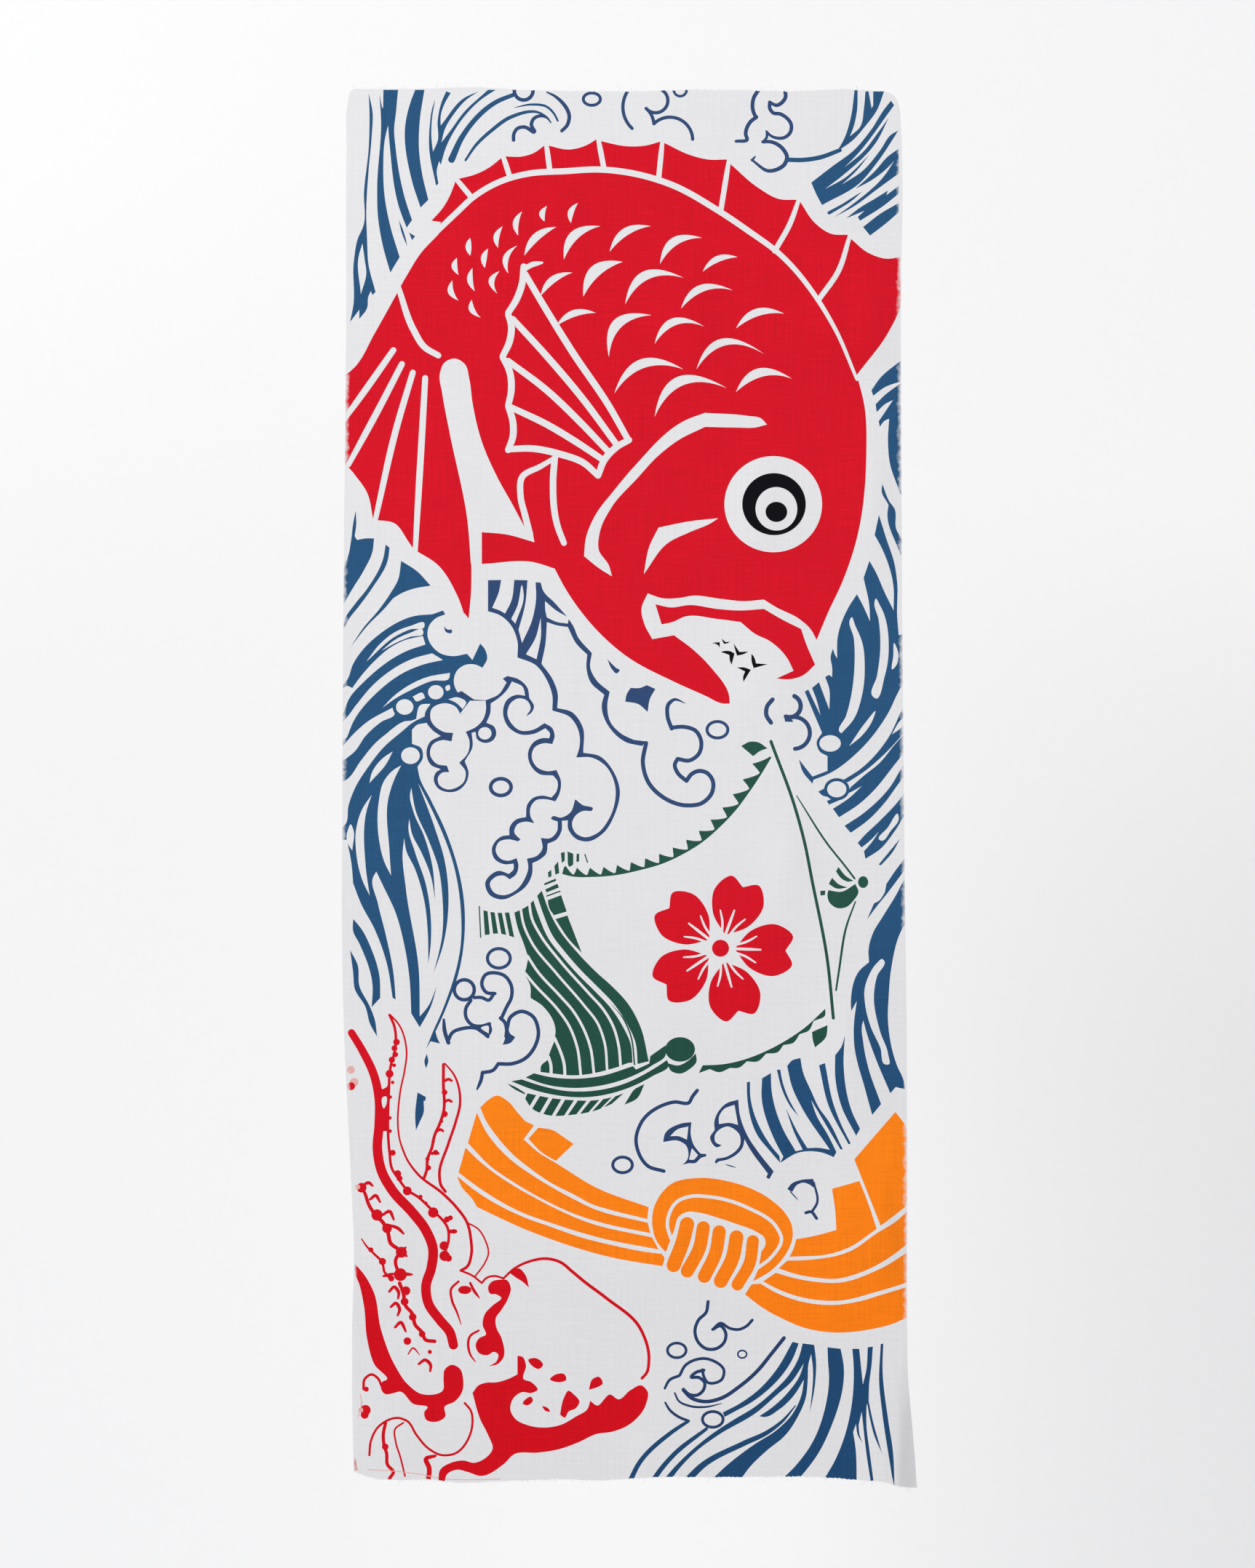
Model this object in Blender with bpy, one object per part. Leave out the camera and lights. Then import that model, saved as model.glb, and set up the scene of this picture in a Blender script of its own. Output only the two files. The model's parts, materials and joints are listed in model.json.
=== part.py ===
"""A printed cotton cloth that hangs from its top edge and folds at its pressed creases.

The origin is on the cloth's back face, at the point where it is held, midway across.
+Z is up along the hanging cloth, -Y is the way its printed face looks, +X is across it.
"""

from math import radians, tan

import bmesh
import bpy

# The cloth as it is cut, in metres
CLOTH_WIDTH = 0.360
CLOTH_LENGTH = 0.900
CLOTH_THICKNESS = 0.0004

# Between pressed creases: an end panel at the top and at the bottom, whole panels between
TOP_PANEL_LENGTH = 0.092
BOTTOM_PANEL_LENGTH = 0.106
WHOLE_PANELS = 6

# How far below the top edge the cloth is held
HELD_BELOW_TOP = 0.010

# Clearance for folding: the panels stop short of each crease and thin towards it
CREASE_GAP = 0.0007
CREASE_TAPER_ANGLE = 4.0

COTTON_ROUGHNESS = 0.9
# The mean colour of the print on each panel, from the top one down (linear)
PANEL_COLOURS = (
    (0.63, 0.45, 0.49),
    (0.71, 0.18, 0.20),
    (0.70, 0.26, 0.28),
    (0.59, 0.52, 0.57),
    (0.59, 0.56, 0.59),
    (0.55, 0.50, 0.52),
    (0.80, 0.47, 0.38),
    (0.60, 0.48, 0.50),
)


def clear_objects():
    for thing in list(bpy.data.objects):
        bpy.data.objects.remove(thing, do_unlink=True)


def panel_ends():
    """The heights of the top edge, of each crease and of the bottom edge, in that order."""
    between = CLOTH_LENGTH - TOP_PANEL_LENGTH - BOTTOM_PANEL_LENGTH
    first_crease = HELD_BELOW_TOP - TOP_PANEL_LENGTH
    pitch = between / WHOLE_PANELS
    creases = [first_crease - pitch * count for count in range(WHOLE_PANELS + 1)]
    return [HELD_BELOW_TOP, *creases, HELD_BELOW_TOP - CLOTH_LENGTH]


def cut_edge(z):
    """The two profile points of a plain cut edge, back face first."""
    return [(CLOTH_THICKNESS / 2, z), (-CLOTH_THICKNESS / 2, z)]


def crease_edge(z, inward):
    """The four profile points of an edge that thins towards the crease at z, back face first.

    inward is 1 where the panel lies above the crease and -1 where it lies below.
    """
    slope = tan(radians(CREASE_TAPER_ANGLE))
    edge_from_crease = CREASE_GAP / 2
    edge_half = slope * edge_from_crease
    full_from_crease = CLOTH_THICKNESS / 2 / slope
    return [
        (CLOTH_THICKNESS / 2, z + inward * full_from_crease),
        (edge_half, z + inward * edge_from_crease),
        (-edge_half, z + inward * edge_from_crease),
        (-CLOTH_THICKNESS / 2, z + inward * full_from_crease),
    ]


def make_panel_mesh(name, top_edge, bottom_edge):
    """A profile in the YZ plane, extruded from one selvage to the other."""
    mesh = bpy.data.meshes.new(name)
    bm = bmesh.new()
    outline = top_edge + bottom_edge[::-1]
    corners = [bm.verts.new((-CLOTH_WIDTH / 2, y, z)) for y, z in outline]
    side = bm.faces.new(corners)
    swept = bmesh.ops.extrude_face_region(bm, geom=[side])
    far_corners = [item for item in swept["geom"] if isinstance(item, bmesh.types.BMVert)]
    bmesh.ops.translate(bm, verts=far_corners, vec=(CLOTH_WIDTH, 0, 0))
    bmesh.ops.recalc_face_normals(bm, faces=bm.faces)
    bm.to_mesh(mesh)
    bm.free()
    return mesh


def make_cotton(name, colour):
    material = bpy.data.materials.new(name)
    material.use_nodes = True
    shader = material.node_tree.nodes["Principled BSDF"]
    shader.inputs["Base Color"].default_value = (*colour, 1)
    shader.inputs["Roughness"].default_value = COTTON_ROUGHNESS
    shader.inputs["Metallic"].default_value = 0
    material.diffuse_color = (*colour, 1)
    return material


def make_panels():
    """A chain of panels: the top one stands at the held point, each other on its own crease."""
    ends = panel_ends()
    last = len(ends) - 2
    above = None
    for index in range(last + 1):
        pivot_z = 0 if index == 0 else ends[index]
        top_z = ends[index] - pivot_z
        bottom_z = ends[index + 1] - pivot_z
        top_edge = cut_edge(top_z) if index == 0 else crease_edge(top_z, -1)
        bottom_edge = cut_edge(bottom_z) if index == last else crease_edge(bottom_z, 1)
        name = f"panel_{index + 1}"
        panel = bpy.data.objects.new(name, make_panel_mesh(name, top_edge, bottom_edge))
        colour = PANEL_COLOURS[index % len(PANEL_COLOURS)]
        panel.data.materials.append(make_cotton(f"cotton_{index + 1}", colour))
        if above is None:
            panel.location = (0, -CLOTH_THICKNESS / 2, 0)
        else:
            panel.parent = above
            panel.location = (0, 0, pivot_z - pivot_above)
        bpy.context.scene.collection.objects.link(panel)
        above, pivot_above = panel, pivot_z


clear_objects()
make_panels()
bpy.context.view_layer.update()
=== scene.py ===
import json
from math import atan2, ceil, cos, hypot, pi, sin
from random import Random

import bmesh
import bpy
import numpy as np
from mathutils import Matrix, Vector
from mathutils.geometry import delaunay_2d_cdt


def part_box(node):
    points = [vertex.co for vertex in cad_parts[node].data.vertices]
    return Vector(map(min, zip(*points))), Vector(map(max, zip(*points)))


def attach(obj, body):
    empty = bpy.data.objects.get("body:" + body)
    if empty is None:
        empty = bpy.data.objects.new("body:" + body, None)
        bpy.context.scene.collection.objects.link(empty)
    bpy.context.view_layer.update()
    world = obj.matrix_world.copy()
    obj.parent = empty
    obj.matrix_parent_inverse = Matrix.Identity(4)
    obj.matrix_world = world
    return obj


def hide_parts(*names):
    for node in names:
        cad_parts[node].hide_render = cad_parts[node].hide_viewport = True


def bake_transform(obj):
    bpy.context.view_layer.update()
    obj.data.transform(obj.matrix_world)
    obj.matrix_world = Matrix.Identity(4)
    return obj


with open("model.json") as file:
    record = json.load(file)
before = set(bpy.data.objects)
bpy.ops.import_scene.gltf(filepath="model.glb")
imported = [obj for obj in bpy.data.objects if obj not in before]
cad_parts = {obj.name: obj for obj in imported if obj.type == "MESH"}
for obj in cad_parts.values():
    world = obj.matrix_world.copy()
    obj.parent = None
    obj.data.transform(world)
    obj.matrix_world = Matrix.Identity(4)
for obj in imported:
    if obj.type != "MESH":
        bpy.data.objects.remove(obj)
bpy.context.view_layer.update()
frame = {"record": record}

print("frame loaded")

# the cloth is drawn flat, in millimetres: x from its middle line, v down from its top edge
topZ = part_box("panel_1")[1][2]
lengthMm = 1000 * (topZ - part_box("panel_8")[0][2])
creases = [1000 * (topZ - joint["pos_m"][2]) for joint in frame["record"]["behaviour"]["joints"]]
panelEnds = [0, *creases, lengthMm]
middles = [(a + b) / 2 for a, b in zip(creases, creases[1:])]

# linear colour of each ink, and how much of the yarn it covers
inks = {
    "white": (0.800, 0.800, 0.815, 0),
    "red": (0.690, 0.007, 0.020, 1),
    "orange": (1.000, 0.262, 0.012, 1),
    "blue": (0.024, 0.092, 0.205, 1),
    "indigo": (0.034, 0.072, 0.178, 1),
    "green": (0.022, 0.090, 0.064, 1),
    "black": (0.004, 0.004, 0.006, 1),
    "paleRed": (0.800, 0.240, 0.190, 0.6),
}


inkStep = 1.0  # mm between points along an outline
capStep = 1.2  # mm between points round a line's end
inkShapes = []


def hermite(p, q, m, n, count):
    # Points from p towards q, q left out, with tangents m and n.
    out = []
    for k in range(count):
        t = k / count
        a = 2 * t**3 - 3 * t**2 + 1
        b = t**3 - 2 * t**2 + t
        c = -2 * t**3 + 3 * t**2
        d = t**3 - t**2
        out.append((a * p[0] + b * m[0] + c * q[0] + d * n[0], a * p[1] + b * m[1] + c * q[1] + d * n[1]))
    return out


def smoothPath(points, closed=False):
    # A curve through the points. A point with a third value is a sharp corner.
    n = len(points)
    path = []
    for i in range(n if closed else n - 1):
        p, q = points[i], points[(i + 1) % n]
        length = hypot(q[0] - p[0], q[1] - p[1])
        if length < 1e-6:
            continue
        chord = (q[0] - p[0], q[1] - p[1])

        def tangent(j):
            at = points[j % n]
            isEnd = not closed and j in (0, n - 1)
            if len(at) > 2 or isEnd:
                return chord
            before, after = points[(j - 1) % n], points[(j + 1) % n]
            d1 = hypot(at[0] - before[0], at[1] - before[1]) or 1e-6
            d2 = hypot(after[0] - at[0], after[1] - at[1]) or 1e-6
            slopes = [(at[k] - before[k]) / d1 * d2 + (after[k] - at[k]) / d2 * d1 for k in (0, 1)]
            return tuple(length * slope / (d1 + d2) for slope in slopes)

        path += hermite(p, q, tangent(i), tangent(i + 1), max(1, ceil(length / inkStep)))
    if not closed:
        path.append(tuple(points[-1][:2]))
    return path


def patch(ink, points):
    # A closed patch of one ink.
    inkShapes.append((ink, smoothPath(points, closed=True)))


def patches(ink, *outlines):
    for outline in outlines:
        patch(ink, outline)


def ribbon(path, widths):
    # The outline of a line that follows path, with a width at each of its points and round ends.
    left, right = [], []
    n = len(path)
    for i, (x, y) in enumerate(path):
        x0, y0 = path[max(i - 1, 0)]
        x1, y1 = path[min(i + 1, n - 1)]
        length = hypot(x1 - x0, y1 - y0) or 1e-6
        nx, ny = -(y1 - y0) / length, (x1 - x0) / length
        half = widths[i] / 2
        left.append((x + nx * half, y + ny * half))
        right.append((x - nx * half, y - ny * half))

    def cap(centre, start, half):
        if half < 0.4:
            return []
        a = atan2(start[1] - centre[1], start[0] - centre[0])
        count = max(4, ceil(pi * half / capStep))
        turns = [a - pi * k / count for k in range(1, count)]
        return [(centre[0] + half * cos(turn), centre[1] + half * sin(turn)) for turn in turns]

    farCap = cap(path[-1], left[-1], widths[-1] / 2)
    nearCap = cap(path[0], right[0], widths[0] / 2)
    return left + farCap + right[::-1] + nearCap


def brush(ink, points, width, ends=(1, 1)):
    # A brushed line, whose width falls to the given shares of it at its ends.
    path = smoothPath(points)
    last = len(path) - 1
    widths = []
    for i in range(last + 1):
        s = i / last
        share = ends[0] if s < 0.5 else ends[1]
        widths.append(width * (share + (1 - share) * sin(pi * min(s, 1 - s))))
    inkShapes.append((ink, ribbon(path, widths)))


def brushes(ink, *lines):
    # each line gives its points, width and, where they taper, its ends
    for line in lines:
        brush(ink, *line)


def crescent(ink, tip, top, farTip, thickness):
    # A moon with two sharp tips, thickest at its top.
    near, far = hypot(top[0] - tip[0], top[1] - tip[1]), hypot(farTip[0] - top[0], farTip[1] - top[1])
    share = near / (near + far)
    midX, midY = (tip[0] + farTip[0]) / 2, (tip[1] + farTip[1]) / 2
    reach = hypot(midX - top[0], midY - top[1]) or 1e-6
    inner = (top[0] + (midX - top[0]) * thickness / reach, top[1] + (midY - top[1]) * thickness / reach)
    count = max(6, ceil((near + far) / inkStep))
    outline = []
    for through, steps in ((top, range(count)), (inner, range(count, 0, -1))):
        lead, trail, middle = (1 - share) ** 2, share**2, 2 * share * (1 - share)
        bend = [(through[i] - lead * tip[i] - trail * farTip[i]) / middle for i in (0, 1)]
        for k in steps:
            t = k / count
            a, b, c = (1 - t) ** 2, 2 * t * (1 - t), t * t
            outline.append(tuple(a * tip[i] + b * bend[i] + c * farTip[i] for i in (0, 1)))
    inkShapes.append((ink, outline))


def arc(start, end, bulge):
    # A round arc from start to end, end left out. bulge is its height as a share of its chord.
    (x0, y0), (x1, y1) = start, end
    chord = hypot(x1 - x0, y1 - y0)
    height = bulge * chord
    radius = (chord * chord / 4 + height * height) / (2 * abs(height))
    half = 2 * atan2(abs(height), chord / 2)
    side = 1 if bulge > 0 else -1
    nx, ny = (y1 - y0) / chord * side, -(x1 - x0) / chord * side
    cx = (x0 + x1) / 2 + nx * (abs(height) - radius)
    cy = (y0 + y1) / 2 + ny * (abs(height) - radius)
    startAngle = atan2(y0 - cy, x0 - cx)
    turn = 2 * half * side
    count = max(4, ceil(radius * abs(turn) / inkStep))
    turns = [startAngle + turn * k / count for k in range(count)]
    return [(cx + radius * cos(a), cy + radius * sin(a)) for a in turns]


def foam(ink, cusps, width, bulge=0.42):
    # A line of round lobes that meet in cusps. A cusp's third value is the bulge of the lobe after it.
    path = []
    for a, b in zip(cusps, cusps[1:]):
        path += arc(a[:2], b[:2], a[2] if len(a) > 2 else bulge)
    path.append(tuple(cusps[-1][:2]))
    inkShapes.append((ink, ribbon(path, [width] * len(path))))


def oval(ink, centre, rx, ry):
    count = max(10, ceil(2 * pi * max(rx, ry) / inkStep))
    turn = [2 * pi * k / count for k in range(count)]
    inkShapes.append((ink, [(centre[0] + rx * cos(a), centre[1] + ry * sin(a)) for a in turn]))


def ring(ink, centre, rx, ry, width, inside="white"):
    oval(ink, centre, rx, ry)
    oval(inside, centre, rx - width, ry - width)


def resampled(points, count):
    # count + 1 points spaced evenly along the curve through the points.
    path = smoothPath(points)
    along = [0]
    for a, b in zip(path, path[1:]):
        along.append(along[-1] + hypot(b[0] - a[0], b[1] - a[1]))
    out = []
    j = 0
    for k in range(count + 1):
        s = along[-1] * k / count
        while j < len(path) - 2 and along[j + 1] < s:
            j += 1
        t = (s - along[j]) / ((along[j + 1] - along[j]) or 1e-6)
        out.append(tuple(path[j][i] + (path[j + 1][i] - path[j][i]) * min(t, 1) for i in (0, 1)))
    return out


def bars(ink, sideA, sideB, count, filled=0.7):
    # Short bars laid across between two curves.
    steps = count * 10
    a, b = resampled(sideA, steps), resampled(sideB, steps)
    for k in range(count):
        i, j = k * 10, k * 10 + round(10 * filled)
        inkShapes.append((ink, a[i : j + 1] + b[i : j + 1][::-1]))


def toothed(ink, points, pitch, height, thickness, steep=0.8):
    # A thin line with teeth on its left. pitch and height are given at its two ends.
    path = resampled(points, 400)
    along = [0]
    for a, b in zip(path, path[1:]):
        along.append(along[-1] + hypot(b[0] - a[0], b[1] - a[1]))
    upper, lower = [], []
    at, grown = 0.0, pitch[0]
    for i, (x, y) in enumerate(path):
        x0, y0 = path[max(i - 1, 0)]
        x1, y1 = path[min(i + 1, 400)]
        length = hypot(x1 - x0, y1 - y0) or 1e-6
        nx, ny = -(y1 - y0) / length, (x1 - x0) / length
        s = along[i] / along[-1]
        if along[i] > at + grown:
            at += grown
            grown = pitch[0] + (pitch[1] - pitch[0]) * s
        t = (along[i] - at) / grown
        tall = height[0] + (height[1] - height[0]) * s
        rise = (t / steep) ** 1.3 if t < steep else ((1 - t) / (1 - steep)) ** 1.3
        proud = thickness / 2 + tall * max(rise, 0)
        upper.append((x + nx * proud, y + ny * proud))
        lower.append((x - nx * thickness / 2, y - ny * thickness / 2))
    inkShapes.append((ink, upper[::2] + lower[::4][::-1]))


def drops(ink, spots):
    # Round spots, each given as x, y, radius.
    for x, y, radius in spots:
        oval(ink, (x, y), radius, radius)


def drawCarp():
    # back fin, body and tail in one red patch
    patch("red", [(-120.5, 85.3, 1), (-126.5, 84.5, 1), (-119, 76), (-114, 67), (-111, 59, 1),
        (-109, 57.5, 1), (-98, 54.5), (-89, 50), (-82, 44.5, 1), (-79, 43, 1), (-68, 43), (-61, 41),
        (-53, 35.5, 1), (-37, 38.5), (-27, 36), (-20, 32, 1), (-18, 33, 1), (0, 36.5), (12, 36),
        (21, 33.5, 1), (24, 34.5, 1), (40, 42), (52, 45), (64, 45, 1), (67, 48.5, 1), (84, 63), (98, 70.5),
        (109, 71, 1), (111.5, 72.5, 1), (121, 86), (132, 93), (142, 93.5, 1), (144, 96, 1), (155, 105),
        (167, 109), (176, 108, 1), (176, 140), (168, 157), (148, 184, 1), (153, 205), (154, 235), (147, 293),
        (138, 319), (130, 336), (122, 355, 1), (116, 372), (106, 380), (97, 381, 1), (80, 392, 1), (61, 396),
        (50, 391), (30, 382), (0, 366), (-40, 322), (-47, 309, 1), (-60, 305), (-94, 306, 1),
        (-94, 285.5, 1), (-101, 290, 1), (-101, 325), (-103, 346, 1), (-110, 326), (-122, 307),
        (-138, 296.5, 1), (-141, 292, 1), (-150, 280), (-164, 277.5, 1), (-168, 260), (-177, 247, 1),
        (-187, 236, 1), (-187, 188, 1), (-176, 179), (-163, 157), (-148.5, 131, 1), (-144, 122.5, 1),
        (-133, 105), (-122, 93.2, 1)])
    # the pale line between the back fin and the body, then the fin's spines
    brush("white", [(-131, 99), (-110, 79), (-99.5, 69.3), (-79, 58), (-65, 54.3), (-40, 52.5), (-18, 51.5),
        (30, 62), (57, 77), (78, 91), (97, 105), (134, 155), (148, 187)], 4, (0.9, 0.5))
    for spine in (
        [(-111, 57), (-101, 69)], [(-80.5, 42), (-76, 56)], [(-52.5, 34), (-50, 53)], [(-19, 31), (-15, 52)],
        [(22.5, 33), (20, 58)], [(65.5, 45), (60, 79)], [(110.5, 71), (105, 86), (95, 104)],
        [(143.5, 94), (136, 117), (123, 136)],
    ):
        brush("white", spine, 3.4, (0.75, 1))
    # body edge beside the tail, and the pale wedge between them
    brush("white", [(-148, 127), (-138, 155), (-131, 166), (-122, 171.5)], 4.2, (0.8, 0.9))
    patch("white", [(-121, 183), (-118, 176), (-111, 173.5), (-105, 177), (-102, 187), (-100, 202),
        (-94, 227), (-84, 250), (-74, 268), (-66, 283, 1), (-62, 282, 1), (-60, 292, 1), (-78, 287),
        (-94, 285.5, 1), (-97, 306, 1), (-101, 306, 1), (-103, 280), (-115, 220), (-119.5, 196)])
    for ray in (
        [(-151, 168), (-165, 188), (-183, 213)], [(-145.5, 177), (-160, 205), (-180, 242)],
        [(-138.5, 182.5), (-149, 218), (-163, 279)], [(-130.5, 186), (-133, 230), (-137, 299)],
    ):
        brush("white", ray, 4.2, (0.9, 0.75))


def drawCarpFins():
    # breast fin: its scalloped edge, its base and its rays
    for side in (
        [(-67, 114), (-68, 125), (-72, 136), (-77, 144)], [(-77, 145), (-75, 152), (-76, 162), (-80.5, 172)],
        [(-80.5, 172.5), (-76, 182), (-75, 194), (-77, 204)],
        [(-77, 204), (-74, 214), (-74, 224), (-77, 232.5)],
        [(-77, 232), (-62, 231.5), (-44, 235), (-28, 241), (-19, 249)],
        [(-19, 249), (-15, 239), (-7, 230.5), (1, 226)],
        [(-66, 119), (-56, 136), (-35, 170), (-12, 204), (0.5, 226)],
        [(-74, 148), (-52, 172), (-30, 198), (-7, 229)], [(-77, 175), (-52, 194), (-30, 215), (-12, 234)],
        [(-75, 205), (-52, 216), (-32, 228), (-17, 238)],
    ):
        brush("white", side, 4.4, (0.9, 0.9))
    brush("white", [(-67, 116), (-62, 113), (-55, 111.5)], 3.4, (1, 0.4))
    # belly fin
    brushes("white",
        ([(-46, 237), (-56, 243), (-68, 250), (-69, 262), (-66, 275), (-63, 287)], 4, (0.7, 1.1)),
        ([(-47, 238), (-48, 252), (-45, 282), (-41, 292.5)], 4.2, (1, 0.9)))


def drawCarpHead():
    # gill covers
    patches("white",
        [(90, 216, 1), (86, 212), (78, 210.5), (50, 208.5, 1), (38, 213), (4, 243.5), (-9, 259), (-21, 275),
        (-27, 290), (-28, 301, 1), (-18, 309), (-10, 314, 1), (-12, 307), (-18.5, 297), (-18, 286),
        (-10, 269), (6, 251), (20, 236), (33, 226), (50, 217.5, 1), (72, 218), (82, 218)],
        [(58.5, 276.5, 1), (40, 278.5), (20, 282.5, 1), (14, 295), (10.5, 312.5, 1), (26, 292.5),
        (40, 285.5), (54, 279.5)])
    # eye
    oval("white", (94, 267.5), 31.5, 31)
    oval("black", (94.5, 267.5), 20.5, 20)
    oval("white", (96, 270.5), 13.5, 14)
    oval("black", (96, 272.5), 7, 6.5)
    # lips, with the pale inside of the mouth open to the front
    patch("white", [(13, 325, 1), (22, 328), (33, 328), (42, 326.5), (60, 328.5), (75, 330), (88, 329, 1),
        (96, 334), (110, 341), (118, 348), (122, 355, 1), (136, 372, 1), (122, 398, 1), (66, 398, 1),
        (65.5, 391), (54, 373), (42, 361), (30, 352, 1), (16, 354.5, 1), (11, 345), (9, 335)])
    patch("red", [(18, 332, 1), (28, 334), (40, 332.5), (58, 335), (72, 336), (88, 335, 1), (100, 342),
        (112, 348, 1), (115, 357), (121, 371, 1), (113, 378), (104, 380.5), (96, 380, 1), (107, 375, 1),
        (103, 367), (92, 356), (82, 351), (73, 343.5, 1), (58, 341.5), (37, 340), (29, 343.5), (22, 345, 1)])


def drawCarpScales():
    small = (
        ((-32, 73), (-38.5, 79), (-36.5, 86)), ((-52, 75), (-57, 80), (-53.5, 85)),
        ((-68, 78.5), (-74, 86), (-70.5, 94)), ((-80.5, 88), (-86.5, 95), (-83.5, 102)),
        ((-101.5, 95.5), (-104.5, 101), (-101.5, 107)), ((-90, 102.5), (-94.5, 108), (-92, 115)),
        ((-71, 100.5), (-80.5, 109), (-77, 118.5)), ((-110, 108.5), (-113.5, 113), (-109, 119.5)),
        ((-100, 115), (-103.5, 121.5), (-98.5, 130)), ((-82.5, 117), (-89.5, 122.5), (-84, 131.5)),
        ((-113, 123), (-116, 130), (-109, 136)), ((-100.5, 135.5), (-102.5, 141), (-94.5, 147)),
    )
    for top, side, bottom in small:
        crescent("white", top, side, bottom, 3.8)
    large = (
        ((-66.5, 107), (-61, 93.5), (-46, 88.5), 5), ((-41, 109.5), (-37.5, 93), (-17.5, 88), 6),
        ((-11.5, 104.5), (-4, 90.5), (15, 88), 5), ((21, 112.5), (27.5, 96.5), (48, 95.5), 5.5),
        ((48.5, 117.5), (57, 107.5), (71, 108), 4), ((-56, 133), (-51, 122), (-35.5, 118), 4.6),
        ((-28.5, 133.5), (-23.5, 114.5), (-3, 111), 7.5), ((-1.5, 138.5), (8, 118.5), (36, 121.5), 6),
        ((34.5, 141.5), (43, 128), (68, 129.5), 5), ((-46, 152.5), (-36, 142.5), (-20.5, 144), 4.4),
        ((-12, 172.5), (-9, 149), (15.5, 145.5), 6.5), ((17.5, 164), (26, 149), (49.5, 153), 5),
        ((70, 154), (81, 142), (101, 144.5), 5), ((44.5, 180.5), (56, 162.5), (88, 170.5), 5),
        ((-8.5, 196), (7, 174.5), (36, 180.5), 6), ((17.5, 211), (29, 187), (64, 192.5), 6.5),
        ((70, 195), (81, 181), (106, 186.5), 6),
    )
    for left, top, right, thickness in large:
        crescent("white", left, top, right, thickness)


def drawTopLeftStreams():
    # falling water at the left
    patch("blue", [(-167, 2, 1), (-164.5, 14), (-165, 30), (-167, 52), (-168.5, 80), (-168, 96), (-167, 113),
        (-162.5, 130.5, 1), (-164.5, 132.5, 1), (-165.5, 130, 1), (-167, 133), (-168, 141), (-173, 148, 1),
        (-173, 142, 1), (-179, 150, 1), (-177, 140), (-176.5, 110), (-174, 96), (-170.5, 88), (-170, 66),
        (-167, 38), (-166.5, 14)])
    patch("white", [(-171, 99, 1), (-169.5, 110), (-168.5, 118), (-172, 132, 1), (-173.5, 108)])
    patches("blue",
        [(-160, 3, 1), (-158, 12), (-157.5, 0, 1), (-148, 0, 1), (-149.5, 16), (-150.5, 25), (-149.5, 38),
        (-143, 72), (-139, 84, 1), (-142.5, 89, 1), (-147, 77), (-153.5, 35), (-154.5, 23, 1), (-156.5, 32),
        (-157.5, 48), (-156.5, 70), (-153, 88), (-147, 108, 1), (-153, 118, 1), (-158, 100), (-161, 82),
        (-161.5, 64), (-159, 20)],
        [(-137, 0, 1), (-131, 0, 1), (-134, 20), (-134.5, 38), (-132.5, 54), (-128.5, 71, 1),
        (-133.5, 76, 1), (-139, 59), (-143, 20), (-140, 8)])
    brush("blue", [(-147.5, 84), (-145, 92), (-142, 101)], 1.4, (0, 0))
    patch("blue", [(-141, 92, 1), (-137, 94.5, 1), (-139, 97, 1)])
    # the breaking curl above the back fin
    patch("blue", [(-124, 6, 1), (-126, 18), (-126.5, 30), (-125.5, 40, 1), (-122.5, 33), (-122.5, 20),
        (-120, 8), (-117, 1, 1), (-114, 2, 1), (-118, 9), (-120.5, 17), (-120.5, 23, 1), (-105, 5),
        (-96, 1, 1), (-104, 6.5), (-111.5, 15), (-118, 26), (-120, 34, 1), (-114, 26), (-106, 15),
        (-90, 0, 1), (-85, 0, 1), (-94, 6), (-112, 27), (-117, 37), (-120.5, 48.5, 1), (-121.5, 46, 1),
        (-123, 52), (-122, 60.5, 1), (-123.5, 62, 1), (-128, 37), (-127.5, 22), (-126, 12)])
    brushes("blue",
        ([(-73, 3), (-84, 7.5), (-107, 31), (-113.5, 45)], 3.2, (0.8, 1.4)),
        ([(-49.2, 21.3), (-52, 17.7), (-57, 14.8), (-75, 17.5), (-88, 26.5), (-98, 36), (-104.5, 45.5)], 2.4,
        (0.3, 0.6)),
        ([(-73, 11.5), (-62, 9.5), (-52, 11), (-47, 16), (-45, 20)], 1.6, (0.2, 0.8)))
    foam("indigo", [(-73, 0), (-61, 0)], 2.4, -0.55)
    brushes("indigo",
        ([(-73.5, 32.5), (-73.3, 28.5), (-71, 25), (-67, 24), (-60.5, 27.3)], 2.3, (1, 1.1)),
        ([(-60, 26.8), (-62, 22.5), (-60.8, 19), (-56, 16.8), (-52, 18), (-49.3, 21.5)], 2.2, (1.2, 0.3)),
        ([(-52, 1.5), (-47, 4), (-37.6, 18.5), (-39, 23), (-42.4, 26.5)], 2.5, (0.4, 0.9)))


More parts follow.
